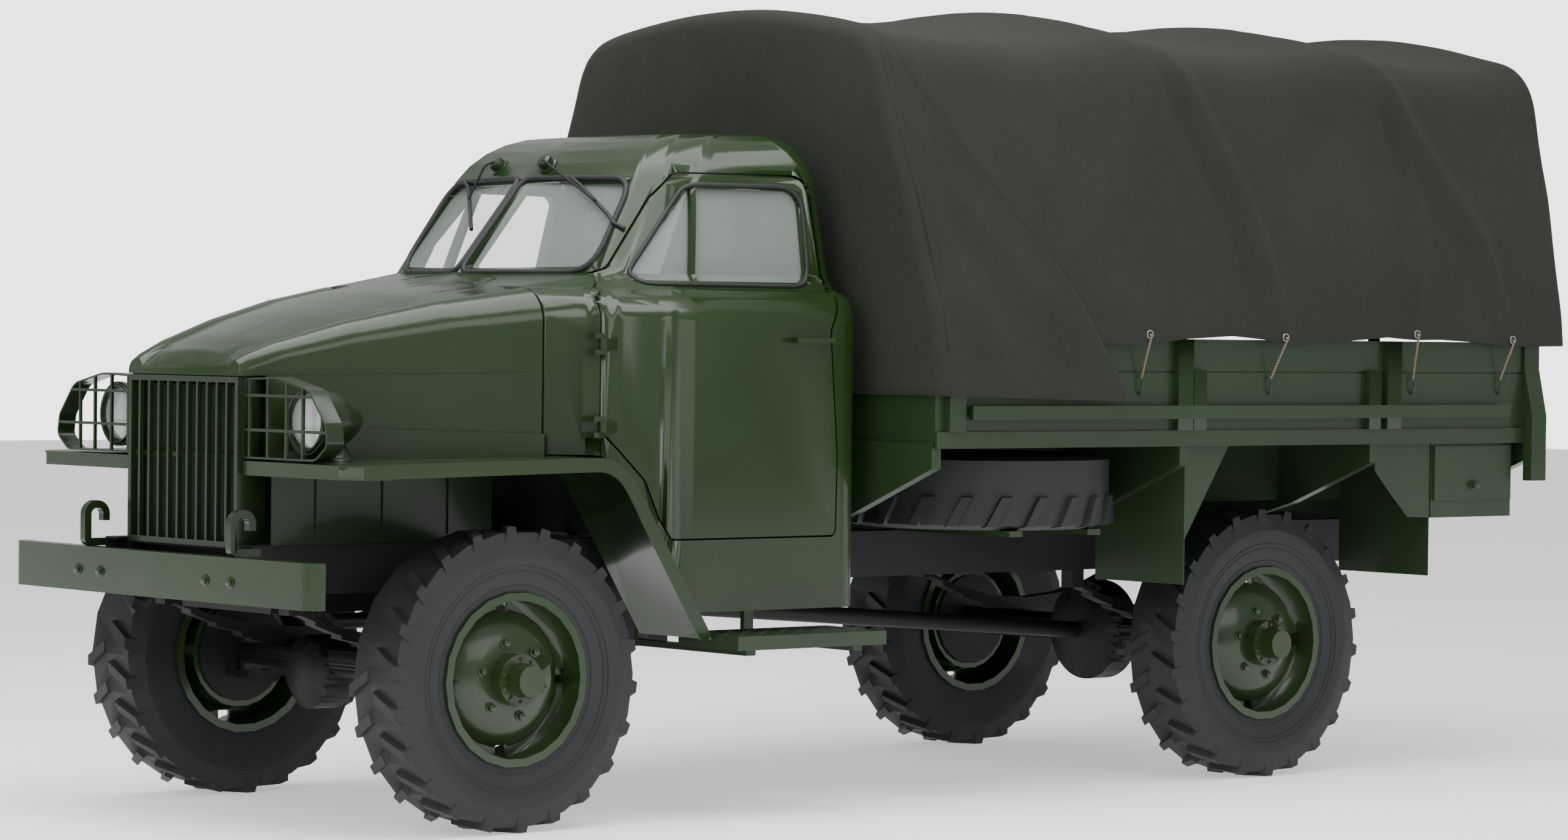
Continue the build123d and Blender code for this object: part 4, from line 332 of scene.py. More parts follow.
canvas_weave.links.new(dyed, weave_out.inputs["Colour"])
canvas_weave.links.new(
    add_math(canvas_weave, "ADD", weave_in.outputs["Roughness"],
             add_math(canvas_weave, "MULTIPLY", stains, 0.08)), weave_out.inputs["Roughness"])
raised = canvas_weave.nodes.new("ShaderNodeBump")
raised.inputs["Distance"].default_value = 0.002
canvas_weave.links.new(weave_in.outputs["Relief"], raised.inputs["Strength"])
canvas_weave.links.new(add_math(canvas_weave, "ADD", threads, slubs), raised.inputs["Height"])
canvas_weave.links.new(raised.outputs["Normal"], weave_out.inputs["Normal"])


def cloth_finish(name, colour, faded_colour, thread_count, roughness, relief):
    """Make one woven finish."""
    material, tree, shader = new_material(name)
    use_group(tree, shader, canvas_weave,
              {"Colour": (*colour, 1.0), "Faded colour": (*faded_colour, 1.0),
               "Threads": thread_count, "Roughness": roughness, "Relief": relief})
    shader.inputs["Sheen Weight"].default_value = 0.03
    shader.inputs["Specular IOR Level"].default_value = 0.15
    shader.inputs["Sheen Roughness"].default_value = 0.5
    return material


canopy_canvas = cloth_finish("canopy_canvas", (0.015, 0.0175, 0.013), (0.029, 0.033, 0.025),
                             330.0, 0.8, 0.3)
seat_cover = cloth_finish("seat_cover", (0.022, 0.022, 0.019), (0.035, 0.034, 0.03),
                          600.0, 0.55, 0.2)
print("cloth finishes are ready")

# %% [markdown]
# Glass, chrome, reflector and rope need little: glass passes light and keeps a
# faint green, chrome is metal with small scratches, and rope is twisted fibre.


# %% Make glass, metal and rope
def glass_finish(name, colour, alpha):
    """Make thin clear glass that shows what lies behind it."""
    material, tree, shader = new_material(name)
    smear = add_noise(tree, tree.nodes.new("ShaderNodeTexCoord").outputs["Object"], 3.0, 5.0)
    tree.links.new(add_range(tree, smear, 0.3, 0.8, 0.02, 0.09), shader.inputs["Roughness"])
    shader.inputs["Base Color"].default_value = (*colour, 1.0)
    shader.inputs["Alpha"].default_value = alpha
    shader.inputs["Specular IOR Level"].default_value = 0.9
    return material


def metal_finish(name, colour, roughness):
    """Make bare metal with fine scratches."""
    material, tree, shader = new_material(name)
    scratch = add_noise(tree, tree.nodes.new("ShaderNodeTexCoord").outputs["Object"], 70.0, 6.0)
    tree.links.new(add_range(tree, scratch, 0.3, 0.8, roughness * 0.7, roughness * 1.5),
                   shader.inputs["Roughness"])
    shader.inputs["Base Color"].default_value = (*colour, 1.0)
    shader.inputs["Metallic"].default_value = 1.0
    return material


window_glass = glass_finish("window_glass", (0.45, 0.52, 0.48), 0.22)
lamp_glass = glass_finish("lamp_glass", (0.85, 0.88, 0.88), 0.3)
bright_metal = metal_finish("bright_metal", (0.72, 0.72, 0.72), 0.18)
worn_steel = metal_finish("worn_steel", (0.25, 0.25, 0.24), 0.4)

tan_rope, rope_tree, rope_shader = new_material("tan_rope")
strand = rope_tree.nodes.new("ShaderNodeTexWave")
strand.inputs["Scale"].default_value = 55.0
strand.inputs["Distortion"].default_value = 1.5
strand.bands_direction = "DIAGONAL"
rope_tree.links.new(rope_tree.nodes.new("ShaderNodeTexCoord").outputs["Object"],
                    strand.inputs["Vector"])
rope_tree.links.new(add_mix(rope_tree, strand.outputs["Fac"], (0.08, 0.06, 0.04, 1.0),
                            (0.23, 0.18, 0.12, 1.0)), rope_shader.inputs["Base Color"])
rope_shader.inputs["Roughness"].default_value = 0.9
twist = rope_tree.nodes.new("ShaderNodeBump")
twist.inputs["Distance"].default_value = 0.002
rope_tree.links.new(strand.outputs["Fac"], twist.inputs["Height"])
rope_tree.links.new(twist.outputs["Normal"], rope_shader.inputs["Normal"])
print("glass, metal and rope are ready")

# %% [markdown]
# The solids keep their shapes and take the finish of what they are. The paint
# on the bed is duller than on the cab, because it is walked on and loaded.

# %% Dress the solids
finish_of = {
    army_green: ["cab_shell", "door_left", "door_right", "hood", "engine_bay_sides",
                 "front_fenders", "front_bumper", "fuel_tank"],
    bed_green: ["bed_bearers", "bed_floor", "bed_front_panel", "bed_posts", "bed_sides",
                "tailgate", "rear_mudguards", "lockers", "locker_lid_left", "locker_lid_right",
                "steps", "spare_carrier", "canopy_bows"],
    grille_green: ["grille", "lamp_guards", "headlamps", "tow_hooks", "splash_panels"],
    wheel_green: ["rim_front_left", "rim_front_right", "rim_rear_left", "rim_rear_right",
                  "rim_spare"],
    chassis_black: ["chassis_frame", "front_axle", "rear_axle", "knuckle_left",
                    "knuckle_right", "leaf_springs", "tie_rod", "transmission", "exhaust",
                    "engine_block", "radiator", "cab_floor"],
    tyre_rubber: ["tyre_front_left", "tyre_front_right", "tyre_rear_left", "tyre_rear_right",
                  "tyre_spare"],
    window_glass: ["cab_glass", "door_glass_left", "door_glass_right"],
    lamp_glass: ["lamp_lenses"],
    canopy_canvas: ["canopy_roof", "canopy_sides", "canopy_front"],
    seat_cover: ["seat_cushions"],
    trim_black: ["dash_panel", "steering_column"],
}
for finish, names in finish_of.items():
    for name in names:
        dressed = nodes[name]
        if not dressed.material_slots:
            dressed.data.materials.append(finish)
        for place in dressed.material_slots:
            place.material = finish
print("dressed", sum(len(names) for names in finish_of.values()), "solids")

# %% [markdown]
# The canopy is one cloth over four steel bows. Between two bows a stretched
# cloth sags in a shallow curve and meets each bow in a soft crest. So the cloth
# is laid out as sections across the truck, each sized by a curve through the
# bow before it, the sag between, and the bow behind it.

# %% Give the cloth its sections
axle_x = 1.8825
# ahead of the front axle, crown z, roof half and z, corner half and z,
# middle half and z, hem half and z
canopy_rows = [
    (-1.498, 2.640, 0.640, 2.578, 0.818, 2.400, 1.132, 1.610, 1.139, 1.500),
    (-2.040, 2.630, 0.690, 2.545, 0.890, 2.380, 1.134, 1.625, 1.141, 1.516),
    (-2.575, 2.696, 0.780, 2.590, 0.985, 2.415, 1.138, 1.640, 1.144, 1.530),
    (-3.100, 2.652, 0.770, 2.550, 0.976, 2.385, 1.139, 1.640, 1.147, 1.530),
    (-3.630, 2.700, 0.800, 2.590, 1.000, 2.415, 1.142, 1.640, 1.149, 1.530),
    (-4.090, 2.656, 0.782, 2.552, 0.986, 2.388, 1.142, 1.640, 1.149, 1.530),
    (-4.545, 2.692, 0.795, 2.582, 0.998, 2.410, 1.142, 1.640, 1.149, 1.530),
]
# the hem's height along the side, low at each eyelet
hem_line = [(-1.498, 1.505), (-2.050, 1.512), (-2.254, 1.521), (-2.420, 1.527), (-2.600, 1.545),
            (-2.828, 1.557), (-2.990, 1.546), (-3.077, 1.531), (-3.190, 1.537), (-3.387, 1.543),
            (-3.600, 1.558), (-3.746, 1.549), (-3.880, 1.552), (-4.100, 1.543),
            (-4.266, 1.530), (-4.545, 1.533)]
cloth_columns = 76


def along_line(line, place):
    """Read a height from a list of places, by straight runs between them."""
    if place >= line[0][0]:
        return line[0][1]
    for (a, b), (c, d) in zip(line, line[1:]):
        if place >= c:
            return b + (d - b) * (place - a) / (c - a)
    return line[-1][1]


def canopy_row(ahead):
    """Give the section's sizes at a place, sagging between the bows."""
    ahead = min(max(ahead, canopy_rows[-1][0]), canopy_rows[0][0])
    for bow in (0, 2, 4):
        front, middle, rear = canopy_rows[bow:bow + 3]
        if ahead >= rear[0]:
            break
    t = (ahead - front[0]) / (rear[0] - front[0])
    m = (middle[0] - front[0]) / (rear[0] - front[0])
    weights = ((t - m) * (t - 1) / m, t * (t - 1) / (m * (m - 1)), t * (t - m) / (1 - m))
    return [sum(w * row[k] for w, row in zip(weights, (front, middle, rear))) for k in range(10)]


def arc_points(start, through, end, count):
    """Give points along the arc through three points, after the first."""
    (ax, ay), (bx, by), (cx, cy) = start, through, end
    d = 2 * (ax * (by - cy) + bx * (cy - ay) + cx * (ay - by))
    ux = ((ax * ax + ay * ay) * (by - cy) + (bx * bx + by * by) * (cy - ay)
          + (cx * cx + cy * cy) * (ay - by)) / d
    uy = ((ax * ax + ay * ay) * (cx - bx) + (bx * bx + by * by) * (ax - cx)
          + (cx * cx + cy * cy) * (bx - ax)) / d
    radius = hypot(ax - ux, ay - uy)
    first, last = atan2(ay - uy, ax - ux), atan2(cy - uy, cx - ux)
    return [(ux + radius * cos(first + (last - first) * k / count),
             uy + radius * sin(first + (last - first) * k / count)) for k in range(1, count + 1)]


def half_section(ahead, hem_z=None, outward=0.0):
    """Give one side of a section, from hem to crown, as evenly spaced points."""
    rows = [canopy_row(ahead + step) for step in (-0.03, -0.015, 0.0, 0.015, 0.03)]
    row = [sum(values) / len(values) for values in zip(*rows)]
    low = hem_z if hem_z is not None else along_line(hem_line, ahead)
    hem = (row[8] + outward, low)
    middle, corner = (row[6] + outward, row[7]), (row[4] + outward, row[5])
    roof, crown = (row[2], row[3] + outward), (0.0, row[1] + outward)
    bulge = ((row[2] + row[4]) / 2 * 1.03 + outward * 0.7,
             row[3] * 0.72 + row[5] * 0.28 + outward * 0.7)
    dense = [hem]
    for start, end, count in ((hem, middle, 6), (middle, corner, 40)):
        dense += [(start[0] + (end[0] - start[0]) * k / count,
                   start[1] + (end[1] - start[1]) * k / count) for k in range(1, count + 1)]
    dense += arc_points(corner, bulge, roof, 16)
    dense += arc_points(roof, crown, (-roof[0], roof[1]), 44)[:22]
    for turn in range(8):
        dense = [dense[0]] + [((a[0] + 2 * b[0] + c[0]) / 4, (a[1] + 2 * b[1] + c[1]) / 4)
                              for a, b, c in zip(dense, dense[1:], dense[2:])] + [dense[-1]]
    lengths = [0.0]
    for a, b in zip(dense, dense[1:]):
        lengths.append(lengths[-1] + hypot(b[0] - a[0], b[1] - a[1]))
    even, place = [], 0
    for k in range(cloth_columns + 1):
        target = lengths[-1] * k / cloth_columns
        while place < len(dense) - 2 and lengths[place + 1] < target:
            place += 1
        share = (target - lengths[place]) / (lengths[place + 1] - lengths[place])
        a, b = dense[place], dense[place + 1]
        even.append((a[0] + (b[0] - a[0]) * share, a[1] + (b[1] - a[1]) * share, target))
    return even


print("a section has", len(half_section(-2.0)), "points a side, length",
      round(half_section(-2.0)[-1][2] * 2, 3))

# %% [markdown]
# Canvas shows its tension in folds. From the shoulder of each bow a fold runs
# down and back to the next eyelet, where a rope pulls. Each fold is a line on
# the side of the truck with a height and a width, and the cloth is raised near
# that line and drawn in beside it.

# %% Shape the folds
# points are ahead and z; then the fold's height and width
folds = [
    ([(-2.700, 2.56), (-2.740, 2.439), (-2.831, 2.249), (-2.936, 2.078), (-3.007, 1.867),
      (-3.068, 1.570)], 0.024, 0.050),
    ([(-2.600, 2.50), (-2.586, 2.393), (-2.464, 2.160), (-2.231, 1.889), (-2.043, 1.700)],
     0.014, 0.090),
    ([(-3.705, 2.58), (-3.754, 2.470), (-3.830, 2.330), (-3.981, 2.129), (-4.147, 1.911),
      (-4.250, 1.590)], 0.024, 0.050),
    ([(-3.680, 2.48), (-3.672, 2.359), (-3.486, 2.154), (-3.330, 1.960)], 0.013, 0.090),
    ([(-3.790, 2.40), (-3.830, 2.260), (-3.857, 2.105), (-3.800, 1.862), (-3.742, 1.590)],
     0.015, 0.045),
    ([(-1.640, 2.44), (-1.690, 2.300), (-1.770, 2.155), (-1.900, 1.960)], 0.012, 0.055),
    ([(-4.545, 2.20), (-4.500, 2.000), (-4.430, 1.800), (-4.300, 1.600)], 0.010, 0.060),
    ([(-2.150, 1.620), (-2.300, 1.700), (-2.424, 1.560)], 0.008, 0.060),
    ([(-1.540, 2.40), (-1.700, 2.020), (-1.900, 1.720), (-2.250, 1.400)], 0.012, 0.070),
    ([(-1.510, 2.20), (-1.560, 1.900), (-1.640, 1.640), (-1.800, 1.420)], 0.012, 0.060),
]


def fold_height(ahead, z):
    """Give how far the folds lift the cloth at a place on the side."""
    total = 0.0
    for line, height, width in folds:
        best, side, share_along = 9.0, 1.0, 0.0
        for number, ((ax, az), (bx, bz)) in enumerate(zip(line, line[1:])):
            run_x, run_z = bx - ax, bz - az
            reach = run_x * run_x + run_z * run_z
            t = min(max(((ahead - ax) * run_x + (z - az) * run_z) / reach, 0.0), 1.0)
            gap_x, gap_z = ahead - ax - run_x * t, z - az - run_z * t
            gap = hypot(gap_x, gap_z)
            if gap < best:
                best = gap
                side = 1.0 if run_x * gap_z - run_z * gap_x > 0 else -1.0
                share_along = (number + t) / (len(line) - 1)
        if best < 4 * width:
            fade = min(1.0, share_along * 4 + 0.15) * min(1.0, (1 - share_along) * 5 + 0.35)
            crest = 2.718 ** (-(best / width) ** 2)
            trough = 2.718 ** (-((side * best - 1.7 * width) / (1.2 * width)) ** 2)
            total += height * fade * (crest - 0.55 * trough)
    return total


def ripple_height(x, y, z):
    """Give the small unevenness of the cloth at a point."""
    broad = noise.noise(Vector((x * 1.6, y * 1.1, z * 2.0)))
    fine = noise.noise(Vector((x * 7.0 + 11.0, y * 5.0, z * 4.0)))
    return 0.007 * broad + 0.0022 * fine


print("fold at a bow's shoulder lifts", round(fold_height(-2.74, 2.44) * 1000, 1), "mm")


# %% Lay the main cloth
def cloth_mesh(name, rows, links):
    """Make a sheet from rows of points, with a map in metres along and across."""
    mesh = bpy.data.meshes.new(name)
    width = len(rows[0])
    points = [point for row in rows for point in row]
    faces = [(r * width + c, r * width + c + 1, (r + 1) * width + c + 1, (r + 1) * width + c)
             for r in range(len(rows) - 1) for c in range(width - 1)]
    mesh.from_pydata(points, [], faces)
    layer = mesh.uv_layers.new(name="cloth_map")
    for loop in mesh.loops:
        row, column = divmod(loop.vertex_index, width)
        layer.data[loop.index].uv = links[row][column]
    cloth = bpy.data.objects.new(name, mesh)
    bpy.context.scene.collection.objects.link(cloth)
    return cloth


def whole_section(ahead, hem_z, outward, flare):
    """Give a full section's points, left hem to right hem, lifted by the folds."""
    half = half_section(ahead, hem_z, outward)
    lifted = []
    for k, (y, z, length) in enumerate(half):
        before, after = half[max(k - 1, 0)], half[min(k + 1, len(half) - 1)]
        run = hypot(after[0] - before[0], after[1] - before[1])
        normal = ((after[1] - before[1]) / run, -(after[0] - before[0]) / run)
        lifted.append((y, z, normal, length))
    left, right = [], []
    for y, z, normal, length in lifted:
        raise_by = fold_height(ahead, z) if y > 0.35 else 0.0
        for side, store in ((1, left), (-1, right)):
            height = raise_by + ripple_height(ahead, side * y, z) + flare
            store.append((axle_x + ahead, side * (y + normal[0] * height),
                          z + normal[1] * height, length))
    full = left + right[-2::-1]
    top = lifted[-1][3]
    lengths = [p[3] for p in left] + [2 * top - p[3] for p in right[-2::-1]]
    return [p[:3] for p in full], lengths


def even_steps(first, last, count):
    """Give evenly spaced values from first to last."""
    return [first + (last - first) * k / count for k in range(count + 1)]


main_rows, main_links = [], []
for ahead in even_steps(-1.520, -4.545, 170):
    points, lengths = whole_section(ahead, None, 0.0, 0.0)
    main_rows.append(points)
    main_links.append([(length, -ahead) for length in lengths])
main_cloth = cloth_mesh("canopy_cloth", main_rows, main_links)
print("main cloth has", len(main_cloth.data.polygons), "faces")

# %% [markdown]
# The front cloth closes the canopy behind the cab and wraps round the first bow
# on both sides, where its free edge runs down in a long slant over the main
# cloth. It is one piece: a fan for the front, a rounded edge, and the two wraps.

# %% Lay the front cloth
wrap_edge = [(2.700, -1.600), (2.560, -1.575), (2.443, -1.585), (2.349, -1.625), (2.190, -1.723),
             (2.010, -1.843), (1.847, -1.992), (1.626, -2.136), (1.376, -2.317),
             (1.334, -2.335)]
front_x = -1.4905
edge_round = 0.055
front_hem = 1.352


def wrap_end(z):
    """Give where the wrapped cloth ends at a height."""
    return along_line(wrap_edge, z)


front_section, front_lengths = whole_section(-1.5, front_hem, 0.006, 0.0)
front_rows, front_links = [], []
inset_section = []
for k, point in enumerate(front_section):
    before = front_section[max(k - 1, 0)]
    after = front_section[min(k + 1, len(front_section) - 1)]
    run = hypot(after[1] - before[1], after[2] - before[2])
    normal = ((after[2] - before[2]) / run, -(after[1] - before[1]) / run)
    inset_section.append((point, normal))
for share in (0.02, 0.1, 0.2, 0.3, 0.4, 0.5, 0.6, 0.7, 0.78, 0.86, 0.92, 0.97):
    row, link = [], []
    for k, ((x, y, z), normal) in enumerate(inset_section):
        base_y, base_z = y - normal[0] * edge_round, z - normal[1] * edge_round
        base_z = max(base_z, front_hem)
        place_y, place_z = base_y * share, front_hem + (base_z - front_hem) * share
        belly = 0.010 * noise.noise(Vector((place_y * 2.6 + 5, place_z * 2.2, 0.3)))
        belly += 0.006 * noise.noise(Vector((place_y * 7.0, place_z * 2.5, 4.3)))
        row.append((axle_x + front_x + belly * min(1.0, (1 - share) * 6), place_y, place_z))
        link.append((place_y, place_z))
    front_rows.append(row)
    front_links.append(link)
for step in range(0, 7):
    turn = pi / 2 * step / 6
    row, link = [], []
    for k, ((x, y, z), normal) in enumerate(inset_section):
        inset = edge_round * (1 - sin(turn))
        place_z = max(z - normal[1] * inset, front_hem)
        row.append((axle_x + front_x - edge_round * (1 - cos(turn)), y - normal[0] * inset,
                    place_z))
        link.append((front_lengths[k], edge_round * turn))
    front_rows.append(row)
    front_links.append(link)
start_ahead = front_x - edge_round
for step in range(1, 41):
    share = step / 40
    row, link = [], []
    for k in range(len(front_section)):
        z_guess = front_section[k][2]
        end = wrap_end(z_guess)
        ahead = start_ahead + (end - start_ahead) * share
        row.append((ahead, k))
        link.append((front_lengths[k], edge_round * pi / 2 + start_ahead - ahead))
    front_rows.append(row)
    front_links.append(link)
section_store = {}


def stored_section(number):
    """Give a front section at a numbered place, worked out once."""
    if number not in section_store:
        ahead = start_ahead - number * 0.02
        hem = front_hem - 0.018 * min(1.0, number * 0.02 / 0.8)
        section_store[number] = whole_section(ahead, hem, 0.006, 0.004)[0]
    return section_store[number]


for row in front_rows:
    for place, entry in enumerate(row):
        if len(entry) == 2:
            ahead, k = entry
            steps = (start_ahead - ahead) / 0.02
            number = int(steps)
            a, b = stored_section(number)[k], stored_section(number + 1)[k]
            t = steps - number
            row[place] = tuple(p + (q - p) * t for p, q in zip(a, b))
front_cloth = cloth_mesh("canopy_front_cloth", front_rows, front_links)
print("front cloth has", len(front_cloth.data.polygons), "faces")


# %% Finish both cloths
def cloth_area(cloth):
    """Add up a sheet's area in square metres."""
    return sum(face.area for face in cloth.data.polygons)


def apply_modifiers(piece):
    """Apply all modifiers of a piece, in their order."""
    bpy.ops.object.select_all(action="DESELECT")
    piece.select_set(True)
    bpy.context.view_layer.objects.active = piece
    for modifier in list(piece.modifiers):
        bpy.ops.object.modifier_apply(modifier=modifier.name)


def give_finish(piece, material, body):
    """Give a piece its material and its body."""
    piece.data.materials.clear()
    piece.data.materials.append(material)
    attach(piece, body)
    return piece


main_area, front_area = cloth_area(main_cloth), cloth_area(front_cloth)
for cloth in (main_cloth, front_cloth):
    bpy.ops.object.select_all(action="DESELECT")
    cloth.select_set(True)
    bpy.context.view_layer.objects.active = cloth
    bpy.ops.object.mode_set(mode="EDIT")
    bpy.ops.mesh.select_all(action="SELECT")
    bpy.ops.mesh.remove_doubles(threshold=0.0001)
    bpy.ops.mesh.normals_make_consistent(inside=False)
    bpy.ops.object.mode_set(mode="OBJECT")
    thickness = cloth.modifiers.new("thickness", "SOLIDIFY")
    thickness.thickness = 0.003
    thickness.offset = 0.0
    apply_modifiers(cloth)
    bpy.ops.object.shade_smooth()
    give_finish(cloth, canopy_canvas, "chassis")
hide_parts("canopy_roof", "canopy_sides")
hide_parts("canopy_front")
# The main cut is the longest arc, 3.943, by the run over the bows, 3.059, with
# 20 mm of hem on each edge. The front cut is its arch, wraps and roof strip,
# 3.634 square metres by their outlines, with a 15 mm hem round 7.7 m of edge.
print("cloth areas", round(main_area, 2), round(front_area, 2))

# %% [markdown]
# A solid arrives as loose triangles, which show as facets on rounded sheet
# metal. A copy of each solid is merged into one skin and smoothed wherever two
# faces meet at a shallow angle, so folds stay crisp and curves look rolled.

# %% Smooth the sheet metal

def merged_copy(node, angle=32.0):
    """Give a solid's copy with its triangles merged and its curves smoothed."""
    bpy.ops.object.select_all(action="DESELECT")
    source = nodes[node]
    skin = bpy.data.objects.new(node + "_skin", source.data.copy())
    bpy.context.scene.collection.objects.link(skin)
    skin.select_set(True)
    bpy.context.view_layer.objects.active = skin
    bpy.ops.object.mode_set(mode="EDIT")
    bpy.ops.mesh.select_all(action="SELECT")
    bpy.ops.mesh.remove_doubles(threshold=0.00002)
    bpy.ops.mesh.dissolve_limited(angle_limit=radians(0.4))
    bpy.ops.object.mode_set(mode="OBJECT")
    bpy.ops.object.shade_smooth_by_angle(angle=radians(angle))
    return skin


smooth_nodes = {
    "chassis": ["cab_shell", "front_fenders", "headlamps", "lamp_guards", "front_bumper",
                "tow_hooks", "fuel_tank", "exhaust", "canopy_bows", "front_axle", "rear_axle",
                "leaf_springs", "transmission", "steering_column", "bed_sides", "bed_posts",
                "lockers", "rear_mudguards", "steps", "grille", "rim_spare", "tyre_spare",
                "dash_panel"],
    "hood": ["hood"],
    "door_left": ["door_left"], "door_right": ["door_right"],
    "tailgate": ["tailgate"],
    "locker_lid_left": ["locker_lid_left"], "locker_lid_right": ["locker_lid_right"],
    "wheel_front_left": ["rim_front_left", "tyre_front_left"],
    "wheel_front_right": ["rim_front_right", "tyre_front_right"],
    "wheel_rear_left": ["rim_rear_left", "tyre_rear_left"],
    "wheel_rear_right": ["rim_rear_right", "tyre_rear_right"],
}
finish_by_node = {name: finish for finish, names in finish_of.items() for name in names}
skins = {}
for body, names in smooth_nodes.items():
    for name in names:
        finish = finish_by_node[name]
        skin = merged_copy(name)
        give_finish(skin, finish, body)
        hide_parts(name)
        skins[name] = skin
print("smoothed", len(skins), "solids")

# %% [markdown]
# Small parts need three helpers. The first finds where a line meets a solid, so
# every piece is seated on what carries it. The second lays a round bead along
# points, for seals, arms and rope. The third makes one bolt head, copies it to
# each place, and joins the set.


# %% Make helpers for small parts
def shown(node):
    """Give the smoothed copy of a solid, or the solid where it has none."""
    return skins.get(node, nodes[node])


def surface_at(node, start, aim):
    """Give the point and normal where a line first meets a solid."""
    hit, point, normal, face = shown(node).ray_cast(Vector(start), Vector(aim).normalized())
    if not hit:
        raise ValueError("no surface on " + node + " from " + str(start))
    return point, normal if normal.dot(Vector(aim)) < 0 else -normal


def bead_along(name, path, radius, closed=False):
    """Lay a round bead along points, from a ring of vertices made a curve."""
    bpy.ops.object.select_all(action="DESELECT")
    bpy.ops.mesh.primitive_circle_add(vertices=len(path), radius=1.0)
    bead = bpy.context.object
    bead.name = bead.data.name = name
    for vertex, point in zip(bead.data.vertices, path):
        vertex.co = Vector(point)
    if not closed:
        ends = {0, len(path) - 1}
        for link in bead.data.edges:
            link.select = set(link.vertices) == ends
        for vertex in bead.data.vertices:
            vertex.select = False
        bpy.ops.object.mode_set(mode="EDIT")
        bpy.ops.mesh.select_mode(type="EDGE")
        bpy.ops.mesh.delete(type="EDGE")
        bpy.ops.object.mode_set(mode="OBJECT")
    bpy.ops.object.convert(target="CURVE")
    bead.data.bevel_depth = radius
    bead.data.bevel_resolution = 3
    bead.data.use_fill_caps = True
    bpy.ops.object.convert(target="MESH")
    bpy.ops.object.shade_smooth_by_angle(angle=radians(50))
    return bpy.context.object


def smooth_path(points, closed=False, steps=6):
    """Round a path of points with a curve through them."""
    count = len(points)
    spans = count if closed else count - 1
    vectors = [Vector(p) for p in points]
    rounded = []
    for k in range(spans):
        if closed:
            a, b, c, d = (vectors[(k + j) % count] for j in (-1, 0, 1, 2))
        else:
            a, b = vectors[max(k - 1, 0)], vectors[k]
            c, d = vectors[k + 1], vectors[min(k + 2, count - 1)]
        for step in range(steps):
            t = step / steps
            rounded.append(0.5 * (2 * b + (c - a) * t + (2 * a - 5 * b + 4 * c - d) * t ** 2
                                  + (3 * b - a - 3 * c + d) * t ** 3))
    if not closed:
        rounded.append(vectors[-1])
    return rounded


def join_copies(name, original, matrices):
    """Copy a piece to each place, remove the first, and join the copies."""
    copies = []
    for matrix in matrices:
        copy = bpy.data.objects.new(name, original.data.copy())
        bpy.context.scene.collection.objects.link(copy)
        copy.data.transform(matrix)
        copies.append(copy)
    bpy.data.objects.remove(original)
    bpy.ops.object.select_all(action="DESELECT")
    for copy in copies:
        copy.select_set(True)
    bpy.context.view_layer.objects.active = copies[0]
    if len(copies) > 1:
        bpy.ops.object.join()
    whole = bpy.context.object
    whole.name = whole.data.name = name
    bpy.ops.object.shade_smooth_by_angle(angle=radians(35))
    return whole


def bolt_set(name, places, radius, height, sides=6):
    """Set bolt heads at places, each a point and the way it faces."""
    bpy.ops.object.select_all(action="DESELECT")
    bpy.ops.mesh.primitive_cylinder_add(vertices=sides, radius=radius, depth=height,
                                        location=(0, 0, 0))
    head = bpy.context.object
    bpy.ops.object.mode_set(mode="EDIT")
    bpy.ops.mesh.select_all(action="SELECT")
    bpy.ops.transform.translate(value=(0, 0, height / 2))
    bpy.ops.mesh.bevel(offset=height * 0.16, segments=2, affect="EDGES")
    bpy.ops.object.mode_set(mode="OBJECT")
    bpy.ops.object.select_all(action="DESELECT")
    bpy.ops.mesh.primitive_cylinder_add(vertices=16, radius=radius * 1.35,
                                        depth=height * 0.25, location=(0, 0, 0))
    bpy.ops.object.mode_set(mode="EDIT")
    bpy.ops.mesh.select_all(action="SELECT")
    bpy.ops.transform.translate(value=(0, 0, height * 0.1))
    bpy.ops.mesh.bevel(offset=height * 0.06, segments=2, affect="EDGES")
    bpy.ops.object.mode_set(mode="OBJECT")
    head.select_set(True)
    bpy.context.view_layer.objects.active = head
    bpy.ops.object.join()
    head = bpy.context.object
    matrices = [Matrix.Translation(Vector(point))
                @ Vector(facing).to_track_quat("Z", "Y").to_matrix().to_4x4()
                for point, facing in places]
    return join_copies(name, head, matrices)


print("helpers for small parts are ready")

# %% [markdown]
# Each wheel is held by six nuts, and its hub carries a ring of ten flange bolts
# round a domed cap. Three fine rings run round each sidewall. All of them are
# seated by a line cast onto the rim or the tyre.

